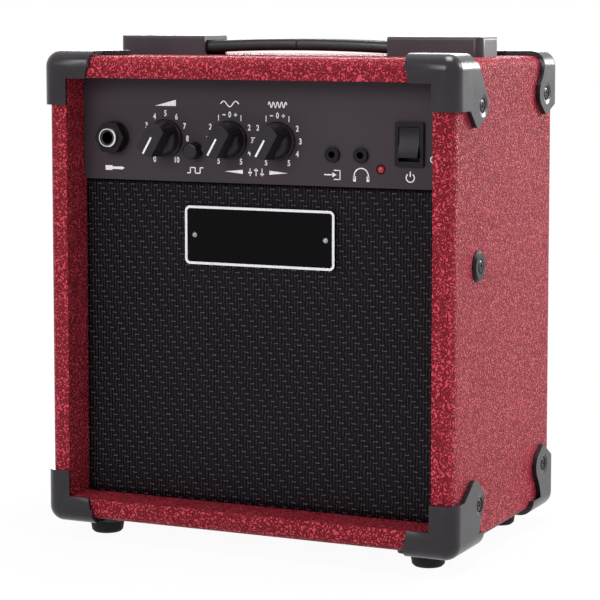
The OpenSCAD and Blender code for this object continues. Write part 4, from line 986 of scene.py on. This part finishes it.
@dataclass
class InkSheet:
    """Thin shapes of ink on a plane that faces the front, each drawn about a place in X and height."""

    depth: float
    coat_mm: float = 0.05
    bm: bmesh.types.BMesh = field(default_factory=bmesh.new)

    def fill(self, outline: Iterable[Point], about: Point) -> None:
        """Adds one filled outline.

        Args:
            outline: Its corners about the place, in millimetres.
            about: The place.
        """
        self.bm.faces.new([self.bm.verts.new(at(about[0] + x, self.depth, about[1] + z)) for x, z in outline])

    def stroke(self, line: Sequence[Point], width: float, about: Point, closed: bool = False) -> None:
        """Adds a line of even width.

        Args:
            line: Its points about the place, in millimetres.
            width: Its width in millimetres.
            about: The place.
            closed: Whether the last point joins the first.
        """
        count = len(line)
        sides = []
        for i, (x, z) in enumerate(line):
            before = line[i - 1] if i or closed else line[i]
            after = line[(i + 1) % count] if i < count - 1 or closed else line[i]
            run = Vector((after[0] - before[0], after[1] - before[1])).normalized()
            normal = Vector((-run.y, run.x)) * (width / 2)
            sides.append([self.bm.verts.new(at(about[0] + x + s * normal.x, self.depth,
                                               about[1] + z + s * normal.y)) for s in (1, -1)])
        for i in range(count if closed else count - 1):
            a, b = sides[i], sides[(i + 1) % count]
            self.bm.faces.new([a[0], a[1], b[1], b[0]])

    def figure(self, text: str, size: float, about: Point, squeeze: float = 0.8, bold: float = 0.024) -> None:
        """Adds figures from the built-in font.

        Args:
            text: The figures.
            size: Height of the em in millimetres.
            about: The place of their centre.
            squeeze: Width against the font's own.
            bold: How much each stroke is thickened, against the size.
        """
        curve = bpy.data.curves.new("figure", "FONT")
        curve.body, curve.size = text, size
        curve.align_x, curve.align_y = "CENTER", "CENTER"
        curve.offset = bold * size
        curve.resolution_u = 3
        obj = new_object("figure", curve)
        mesh = evaluated_mesh(obj)
        verts = [self.bm.verts.new(at(about[0] + v.co.x * squeeze, self.depth, about[1] + v.co.y))
                 for v in mesh.vertices]
        for polygon in mesh.polygons:
            self.bm.faces.new([verts[i] for i in polygon.vertices])
        bpy.data.objects.remove(obj)
        bpy.data.curves.remove(curve)
        bpy.data.meshes.remove(mesh)

    def piece(self, name: str, look: Look) -> bpy.types.Object:
        """Gives the shapes their thickness and turns them into a piece.

        Args:
            name: The piece's name.
            look: Its ink.

        Returns:
            The piece.
        """
        bmesh.ops.remove_doubles(self.bm, verts=self.bm.verts, dist=1e-8)
        grown = bmesh.ops.extrude_face_region(self.bm, geom=self.bm.faces[:], use_keep_orig=True)
        raised = [item for item in grown["geom"] if isinstance(item, bmesh.types.BMVert)]
        bmesh.ops.translate(self.bm, verts=raised, vec=(0.0, -self.coat_mm * MM, 0.0))
        return new_piece(name, mesh_from(self.bm, name, False), look)


@dataclass
class PanelPrint(InkSheet):
    """Dial figures, and plain signs in place of words, on the control panel."""

    ring: float = 13.6
    turn_per_step: int = 30
    line: float = 0.6
    figure_size: float = 4.4
    sign_low: float = 195.8
    sign_high: float = 232.4
    slider_pitch: float = 3.6
    mark_x: float = 101.8
    on_height: float = 220.2
    off_height: float = 205.4

    def build(self) -> None:
        """Prints the panel."""
        self.dials()
        self.tone_signs()
        self.jack_signs()
        self.tone_rules()
        self.headphones()
        self.power_signs()
        piece = self.piece("panel_print", Look.INK)
        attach(piece, "cabinet")

    def below(self, node: str) -> Point:
        """Gives the place of the sign below a solid."""
        return middle(node)[0], self.sign_low

    def dials(self) -> None:
        """Prints the three rings of figures, with a minus and a plus sign over bass and treble."""
        for name in KNOBS:
            x, _, z = middle(f"{name}_knob")
            low, high = (0, 10) if name == "volume" else (-5, 5)
            for value in range(low, high + 1):
                angle = math.radians((value - (low + high) / 2) * self.turn_per_step)
                place = (x + self.ring * math.sin(angle), z + self.ring * math.cos(angle))
                self.figure(str(abs(value)), self.figure_size, place)
            if low < 0:
                for dash in ([(-4.5, 0), (-2.5, 0)], [(2.5, 0), (4.5, 0)], [(3.5, -1.0), (3.5, 1.0)]):
                    self.stroke(dash, self.line, (x, z + self.ring))

    def tone_signs(self) -> None:
        """Prints a wedge for loudness, and slow and quick waves for bass and treble."""
        volume, bass, treble = ((middle(f"{name}_knob")[0], self.sign_high) for name in KNOBS)
        self.fill([(-6.5, -1.7), (6.5, -1.7), (6.5, 1.7)], volume)
        for place, waves in ((bass, 1.5), (treble, 4.5)):
            wave = [(-5.5 + 11 * i / 60, 1.5 * math.sin(2 * math.pi * waves * i / 60)) for i in range(61)]
            self.stroke(wave, self.line, place)

    def jack_signs(self) -> None:
        """Prints a plug, a clipped wave and an arrow into a box."""
        plug, drive, aux = (self.below(node) for node in ("input_jack_nut", "drive_switch", "aux_jack"))
        self.stroke([(-6, 0), (-1.6, 0)], 2.6, plug)
        self.stroke([(-1.6, 0), (3.8, 0)], 1.4, plug)
        self.fill([(3.8, -1.1), (6.2, 0), (3.8, 1.1)], plug)
        steps = [(-5, -1.5), (-3, -1.5), (-3, 1.5), (0, 1.5), (0, -1.5), (3, -1.5), (3, 1.5), (5, 1.5)]
        for run in zip(steps, steps[1:]):
            self.stroke(run, self.line, drive)
        self.stroke([(-5.0, 0), (0.4, 0)], self.line, aux)
        self.fill([(-0.2, -1.3), (2.2, 0), (-0.2, 1.3)], aux)
        self.stroke([(0.6, 2.4), (4.2, 2.4), (4.2, -2.4), (0.6, -2.4)], self.line, aux)

    def tone_rules(self) -> None:
        """Prints three small sliders between two tapering rules."""
        x = (middle("bass_knob")[0] + middle("treble_knob")[0]) / 2 + 1.5
        for side in (-1, 1):
            self.fill([(side * 8, -1.1), (side * 8, 1.1), (side * 19, 0)], (x, self.sign_low))
        for i, lift in enumerate((-0.3, 1.0, -1.0)):
            slider = (x + (i - 1) * self.slider_pitch, self.sign_low)
            self.stroke([(0, -2.1), (0, 2.1)], 0.45, slider)
            self.stroke([(-1.1, lift), (1.1, lift)], 0.85, slider)

    def headphones(self) -> None:
        """Prints a headband with two ear pads."""
        place = self.below("headphone_jack")
        self.stroke([(-4.1, -2.0), *arc(0, -0.2, 4.1, -90, 90, 26), (4.1, -2.0)], self.line, place)
        for side in (-1, 1):
            self.stroke([(side * 3.9, -3.2), (side * 3.9, -0.4)], 1.5, place)

    def power_signs(self) -> None:
        """Prints a power sign below the rocker, and the on and off signs beside it."""
        place = self.below("rocker_switch_frame")
        self.stroke(arc(0, -0.3, 2.3, 38, 322, 28), self.line, place)
        self.stroke([(0, 0.2), (0, 3.0)], self.line, place)
        self.stroke([(0, -1.8), (0, 1.8)], self.line, (self.mark_x, self.on_height))
        self.stroke(arc(0, 0, 1.7, 0, 345, 24), self.line, (self.mark_x, self.off_height), closed=True)


# ---------------------------------------------------------------- soft and small pieces


@dataclass
class GrilleCloth:
    """The cloth stretched over the baffle, drawn in a little over the loudspeaker."""

    face: float
    half: float
    low: float
    high: float
    hole_height: float
    hole_radius: float = 57.5
    thick: float = 0.5
    dip: float = 0.35
    columns: int = 56
    rows: int = 46

    def skin(self, bm: bmesh.types.BMesh, behind: float) -> list[list[bmesh.types.BMVert]]:
        """Makes one skin.

        Args:
            bm: The edit mesh.
            behind: How far the skin lies behind the cloth's face, in millimetres.

        Returns:
            The skin's points, row by row.
        """
        grid = []
        for j in range(self.rows + 1):
            z = self.low + (self.high - self.low) * j / self.rows
            line = []
            for i in range(self.columns + 1):
                x = -self.half + 2 * self.half * i / self.columns
                reach = math.hypot(x, z - self.hole_height) / self.hole_radius
                sag = self.dip * max(0.0, 1 - reach * reach)
                line.append(bm.verts.new(at(x, self.face + sag + behind, z)))
            grid.append(line)
        for a, b in zip(grid, grid[1:]):
            for i in range(self.columns):
                bm.faces.new([a[i], a[i + 1], b[i + 1], b[i]])
        return grid

    def build(self) -> None:
        """Makes the cloth from two skins joined round their edge."""
        bm = bmesh.new()
        rims = []
        for grid in (self.skin(bm, 0.0), self.skin(bm, self.thick)):
            right = [row[-1] for row in grid[1:-1]]
            left = [row[0] for row in grid[-2:0:-1]]
            rims.append(grid[0] + right + grid[-1][::-1] + left)
        bridge(bm, rims)
        piece = new_piece("grille_weave", mesh_from(bm, "grille_weave"), Look.CLOTH)
        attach(piece, "cabinet")
        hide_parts("grille_cloth")


@dataclass
class CarryStrap:
    """The strap between the handle's caps, in two halves."""

    base: float
    reach: float = 88.0
    width: float = 23.0
    thick: float = 6.6
    bow: float = 1.3
    bow_reach: float = 54.0
    tongue_from: float = 66.0
    tongue_run: float = 3.0
    tongue_width: float = 0.78
    tongue_thick: float = 0.48
    rest_at: float = 56.0
    lift_at: float = 34.0
    stations: int = 72
    end_edge: float = 0.05
    end_angle: float = 70.0

    def section(self, full: float) -> list[Point]:
        """Gives the strap's cross-section, flat below and rimmed above.

        Args:
            full: 1 for the full section, less where it thins to its tongue.

        Returns:
            Points in Y and Z, in millimetres about the strap's base.
        """
        w = self.width / 2 * (1 if full >= 1 else self.tongue_width)
        t = self.thick * (self.tongue_thick + (1 - self.tongue_thick) * full)
        half = [(0, 0), (w - 1.6, 0), (w - 0.4, 0.4), (w, 1.5), (w, t - 2.2), (w - 0.4, t - 0.7),
                (w - 1.3, t), (w - 2.6, t - 0.1), (w - 3.4, t - 0.9), (w - 5.2, t - 1.3), (w - 8, t - 1.0),
                (0, t - 0.7)]
        return half + [(-y, z) for y, z in reversed(half[1:-1])]

    def half(self, name: str, side: int) -> bpy.types.Object:
        """Makes one half of the strap.

        Args:
            name: The piece's name.
            side: -1 for the left half, 1 for the right.

        Returns:
            The piece.
        """
        bm = bmesh.new()
        rings = []
        for i in range(self.stations + 1):
            x = self.reach * i / self.stations
            thinned = max(0.0, min(1.0, (x - self.tongue_from) / self.tongue_run))
            rise = self.bow * max(0.0, 1 - (x / self.bow_reach) ** 2)
            rings.append([bm.verts.new(at(side * x, HALF_DEPTH + y, self.base + rise + z))
                          for y, z in self.section(1 - thinned)])
        bridge(bm, rings)
        for ring in (rings[0], rings[-1]):
            bm.faces.new(ring)
        piece = new_piece(name, mesh_from(bm, name), Look.STRAP)
        bevel = piece.modifiers.new("Ends", "BEVEL")
        bevel.width, bevel.segments, bevel.limit_method = self.end_edge * MM, 1, "ANGLE"
        bevel.angle_limit = math.radians(self.end_angle)
        detail = piece.modifiers.new("Round", "SUBSURF")
        detail.levels = detail.render_levels = 1
        mesh = evaluated_mesh(piece)
        piece.modifiers.clear()
        piece.data = mesh
        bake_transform(piece)
        return piece

    def build(self) -> None:
        """Makes both halves."""
        left, right = self.half("strap_half_left", -1), self.half("strap_half_right", 1)
        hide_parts("handle_strap_end_left", "handle_grip")
        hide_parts("handle_strap_end_right")


@dataclass
class CrossScrews:
    """Black cross-head screws of guards, feet, cup washers and back boards."""

    head: float = 3.5
    crown: float = 0.55
    rim: float = 0.3
    shank: float = 1.7
    length: float = 11.0
    tip: float = 0.3
    point_from: float = 9.0
    segments: int = 48
    steps: int = 15
    cross_reach: float = 1.95
    seat: float = 1.65
    foot_seat: float = -7.35
    cup_seat: float = 1.5
    back_seat: float = 0.35
    front_screw: float = 35.0
    rear_screw: float = 18.0
    ear_screw: float = 24.7
    low_ear_screw: float = 21.2
    foot_x: float = 98.0
    foot_y: float = 23.5
    back_x: float = 102.5
    back_heights: tuple[float, ...] = (26.0, 58.0, 160.0, 232.0)
    seed: int = 11

    def source(self) -> bpy.types.Mesh:
        """Makes one screw about the origin, its head about z = 0 and its tip at +z.

        Returns:
            The mesh.
        """
        bm = bmesh.new()
        angles = [2 * math.pi * s / self.segments for s in range(self.segments)]
        rings = [[bm.verts.new(Vector(self.head_point(self.head * r / self.steps, a)) * MM) for a in angles]
                 for r in range(1, self.steps + 1)]
        centre = bm.verts.new(Vector(self.head_point(0.0, 0.0)) * MM)
        for s in range(self.segments):
            bm.faces.new([centre, rings[0][s], rings[0][(s + 1) % self.segments]])
        for z, radius in ((self.rim, self.head), (self.rim, self.shank), (self.point_from, self.shank),
                          (self.length, self.tip)):
            rings.append([bm.verts.new(Vector((radius * math.cos(a), radius * math.sin(a), z)) * MM)
                          for a in angles])
        bridge(bm, rings)
        bm.faces.new(rings[-1])
        return mesh_from(bm, "cross_screw")

    def head_point(self, radius: float, angle: float) -> Triple:
        """Gives a point of the head's outer face, with the cross sunk into it.

        Args:
            radius: Distance from the axis.
            angle: Angle about the axis.

        Returns:
            The point in millimetres.
        """
        x, y = radius * math.cos(angle), radius * math.sin(angle)
        dome = -self.crown * max(0.0, 1 - (radius / self.head) ** 4)
        # An arm of the cross is half as wide as this, and both its width and its depth lessen outwards.
        half_arm = 0.42 + 0.12 * (1 - radius / 2.0)
        sunk = 0.15 + 0.75 * (1 - radius / 2.6)
        inside = radius < self.cross_reach and min(abs(x), abs(y)) < half_arm
        return (x, y, dome + (sunk if inside else 0.0))

    def places(self) -> list[tuple[Vector, Vector]]:
        """Lists the screws.

        Returns:
            Where each head sits, and which way its tip points.
        """
        half_width = span("side_board_right")[1][0]
        _, depth, height = span("top_board")[1]
        _, cup_y, cup_z = middle("cup_washers")
        back = span("back_panel_upper")[1][1] + self.back_seat
        down, up, forward = Vector((0, 0, -1)), Vector((0, 0, 1)), Vector((0, -1, 0))
        screws = []
        for side in (-1, 1):
            inward = Vector((-side, 0, 0))
            for y, low, high in ((self.front_screw, self.low_ear_screw, self.ear_screw),
                                 (depth - self.rear_screw, self.ear_screw, self.low_ear_screw)):
                screws.append((at(side * (half_width + self.seat), y, low), inward))
                screws.append((at(side * (half_width + self.seat), y, height - high), inward))
                screws.append((at(side * (half_width - high), y, height + self.seat), down))
            for y in (self.foot_y, depth - self.foot_y):
                screws.append((at(side * self.foot_x, y, self.foot_seat), up))
            screws.append((at(side * (half_width + self.cup_seat), cup_y, cup_z), inward))
            for z in self.back_heights:
                screws.append((at(side * self.back_x, back, z), forward))
        return screws

    def build(self) -> None:
        """Makes the screws, each with its cross turned at random."""
        rng = random.Random(self.seed)
        turned = []
        for place, direction in self.places():
            about = Euler((0, 0, rng.uniform(0, math.pi / 2)))
            turn = direction.to_track_quat("Z", "Y") @ about.to_quaternion()
            turned.append((place, turn.to_euler()))
        piece = repeat("cross_screws", self.source(), turned, Look.OXIDE)
        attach(piece, "cabinet")
        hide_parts("cabinet_screws")


@dataclass
class KnobPointers:
    """The white line let into each knob's face."""

    rest_turn: float = -150.0
    width: float = 1.15
    length: float = 10.4
    from_axis: float = -1.6
    proud: float = 0.02
    deep: float = 0.26
    edge: float = 0.08

    def build(self) -> None:
        """Makes the three lines, each riding on its knob."""
        turn = math.radians(self.rest_turn)
        out = Vector((math.sin(turn), 0, math.cos(turn)))
        across = Vector((math.cos(turn), 0, -math.sin(turn)))
        start, end = self.from_axis, self.from_axis + self.length
        corners = [out * run * MM + across * (side * self.width / 2) * MM
                   for run, side in ((start, -1), (start, 1), (end, 1), (end, -1))]
        for name in KNOBS:
            bm = bmesh.new()
            face = span(f"{name}_knob")[0][1]
            x, _, z = middle(f"{name}_knob")
            rings = [[bm.verts.new(at(x, depth, z) + corner) for corner in corners]
                     for depth in (face - self.proud, face + self.deep)]
            bridge(bm, rings)
            for ring in rings:
                bm.faces.new(ring)
            bmesh.ops.bevel(bm, geom=bm.edges[:], offset=self.edge * MM, segments=2, affect="EDGES")
            piece = new_piece(f"{name}_pointer", mesh_from(bm, f"{name}_pointer", False), Look.INK)
            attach(piece, f"{name}_dial")


# ---------------------------------------------------------------- scene


@dataclass(frozen=True)
class Camera:
    """The viewing angle, worked out from the object's own corners."""

    place: Triple = (527.9, -1052.9, 277.6)
    yaw: float = 23.85
    pitch: float = 5.2
    roll: float = 0.11
    focal_px: float = 2216.0
    centre_px: Point = (350.0, 222.0)
    frame_px: float = 600.0
    sensor_mm: float = 36.0

    def build(self) -> None:
        """Makes the camera."""
        data = bpy.data.cameras.new("camera")
        data.sensor_width = self.sensor_mm
        data.lens = self.focal_px * self.sensor_mm / self.frame_px
        data.shift_x = (self.frame_px / 2 - self.centre_px[0]) / self.frame_px
        data.shift_y = (self.centre_px[1] - self.frame_px / 2) / self.frame_px
        data.clip_start, data.clip_end = 0.05, 20.0
        camera = new_object("camera", data)
        yaw, pitch = math.radians(self.yaw), math.radians(self.pitch)
        ahead = Vector((-math.sin(yaw) * math.cos(pitch), math.cos(yaw) * math.cos(pitch), -math.sin(pitch)))
        roll = Euler((0, 0, math.radians(self.roll))).to_quaternion()
        camera.rotation_mode = "QUATERNION"
        camera.rotation_quaternion = ahead.to_track_quat("-Z", "Y") @ roll
        camera.location = at(*self.place)
        bpy.context.scene.camera = camera


@dataclass(frozen=True)
class SoftBox:
    """One rectangular studio light."""

    name: str
    place: Triple
    size: Point
    power: float
    aim: Triple = (0.0, 0.0, 0.14)

    def build(self) -> None:
        """Makes the light."""
        data = bpy.data.lights.new(self.name, "AREA")
        data.shape = "RECTANGLE"
        data.size, data.size_y = self.size
        data.energy = self.power
        light = new_object(self.name, data)
        light.location = self.place
        light.rotation_euler = (Vector(self.aim) - Vector(self.place)).to_track_quat("-Z", "Y").to_euler()


@dataclass(frozen=True)
class Studio:
    """White floor, soft lights and a white surrounding."""

    lights: tuple[SoftBox, ...] = (
        SoftBox("top", (0.2, 0.1, 2.2), (1.2, 0.9), 48.0),
        SoftBox("right", (1.9, 1.1, 1.2), (0.6, 0.8), 20.0),
        SoftBox("front", (-0.4, -2.4, 1.2), (1.4, 1.0), 29.0),
        SoftBox("behind_right", (1.2, 2.1, 0.8), (0.7, 0.7), 38.0),
        SoftBox("behind_left", (-1.0, 2.2, 0.7), (1.2, 0.6), 18.0),
    )
    surround: float = 0.38
    floor_half: float = 6.0
    floor_below: float = 0.0002
    shadow_reach: Point = (0.15, 0.38)
    near_white: float = 0.95
    paper: tuple[str, str] = ("D8D7D9", "E0DFE1")
    cloud_mm: float = 333.3

    def build(self) -> None:
        """Makes the floor, the lights and the world."""
        bpy.context.scene.view_settings.view_transform = "Standard"
        for light in self.lights:
            light.build()
        self.floor()
        self.world()
        LOG.info("studio: %d lights", len(self.lights))

    def shown(self, tree: Tree) -> Socket:
        """Wires what tells camera, mirror and glass rays from the rays that light the object.

        Args:
            tree: The tree.

        Returns:
            1 for rays that show the surrounding, 0 for the others.
        """
        path = add(tree, "ShaderNodeLightPath")
        mirrored = add(tree, "ShaderNodeMath", {0: path["Is Camera Ray"], 1: path["Is Glossy Ray"]},
                       operation="MAXIMUM")[0]
        return add(tree, "ShaderNodeMath", {0: mirrored, 1: path["Is Transmission Ray"]},
                   operation="MAXIMUM")[0]

    def floor(self) -> None:
        """Makes the floor: white paper that takes the object's shadow near it and fades out of sight."""
        bm = bmesh.new()
        bmesh.ops.create_grid(bm, x_segments=8, y_segments=8, size=self.floor_half)
        material = bpy.data.materials.new("paper_backdrop")
        material.use_nodes = True
        tree = material.node_tree
        tree.nodes.clear()
        where = add(tree, "ShaderNodeTexCoord")["Object"]
        far = add(tree, "ShaderNodeVectorMath", {0: where}, operation="LENGTH")["Value"]
        near, end = self.shadow_reach
        faded = add(tree, "ShaderNodeMapRange", {
            "Value": far, "From Min": near, "From Max": end, "To Min": self.near_white},
            interpolation_type="SMOOTHSTEP")[0]
        white = add(tree, "ShaderNodeMath", {0: faded, 1: self.shown(tree)}, operation="MULTIPLY")[0]
        fibre = add(tree, "ShaderNodeTexNoise", {
            "Vector": where, "Scale": per_m(self.cloud_mm), "Detail": 2.0})["Fac"]
        colour = tint(tree, fibre, self.paper, ((0.0, 1.0),))
        paper = add(tree, "ShaderNodeBsdfDiffuse", {"Color": colour})[0]
        glow = add(tree, "ShaderNodeEmission", {"Color": WHITE, "Strength": 1.0})[0]
        shader = add(tree, "ShaderNodeMixShader", {0: white, 1: paper, 2: glow})[0]
        add(tree, "ShaderNodeOutputMaterial", {"Surface": shader})
        mesh = mesh_from(bm, "backdrop_floor")
        mesh.materials.append(material)
        floor = new_object("backdrop_floor", mesh)
        floor.location.z = -self.floor_below

    def world(self) -> None:
        """Makes a surrounding that shows white and lights the object less."""
        world = bpy.data.worlds.new("studio")
        bpy.context.scene.world = world
        world.use_nodes = True
        tree = world.node_tree
        tree.nodes.clear()
        lit, seen = (add(tree, "ShaderNodeBackground", {"Color": WHITE, "Strength": strength})[0]
                     for strength in (self.surround, 1.0))
        mixed = add(tree, "ShaderNodeMixShader", {0: self.shown(tree), 1: lit, 2: seen})[0]
        add(tree, "ShaderNodeOutputWorld", {"Surface": mixed})


@dataclass
class Amplifier:
    """The whole dressed part."""

    nodes: dict[str, bpy.types.Object]

    def dress_solids(self) -> None:
        """Finishes every solid that stays in view."""
        for dressing in DRESSINGS:
            for name in dressing.names:
                obj = self.nodes[name]
                obj.data.materials.clear()
                obj.data.materials.append(dressing.look.value.material())
                soften(obj, dressing.bevel_mm)
                LOG.info("%s: %s", name, dressing.look.value.name)

    def add_pieces(self) -> None:
        """Makes the pieces that the solids don't hold or only stand for."""
        (_, face, low), (half, _, high) = span("grille_cloth")
        for builder in (GrilleCloth(face, half, low, high, middle("speaker_cone")[2]),
                        CarryStrap(span("handle_grip")[0][2]), CrossScrews(), KnobPointers(),
                        PanelPrint(span("control_panel")[0][1])):
            builder.build()


def main() -> None:
    """Builds the scene over the frame."""
    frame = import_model()
    Camera().build()
    amplifier = Amplifier(frame["nodes"])
    amplifier.add_pieces()
    amplifier.dress_solids()
    Studio().build()
    LOG.info("scene ready")


if __name__ == "__main__":
    logging.basicConfig(level=logging.INFO)
    main()
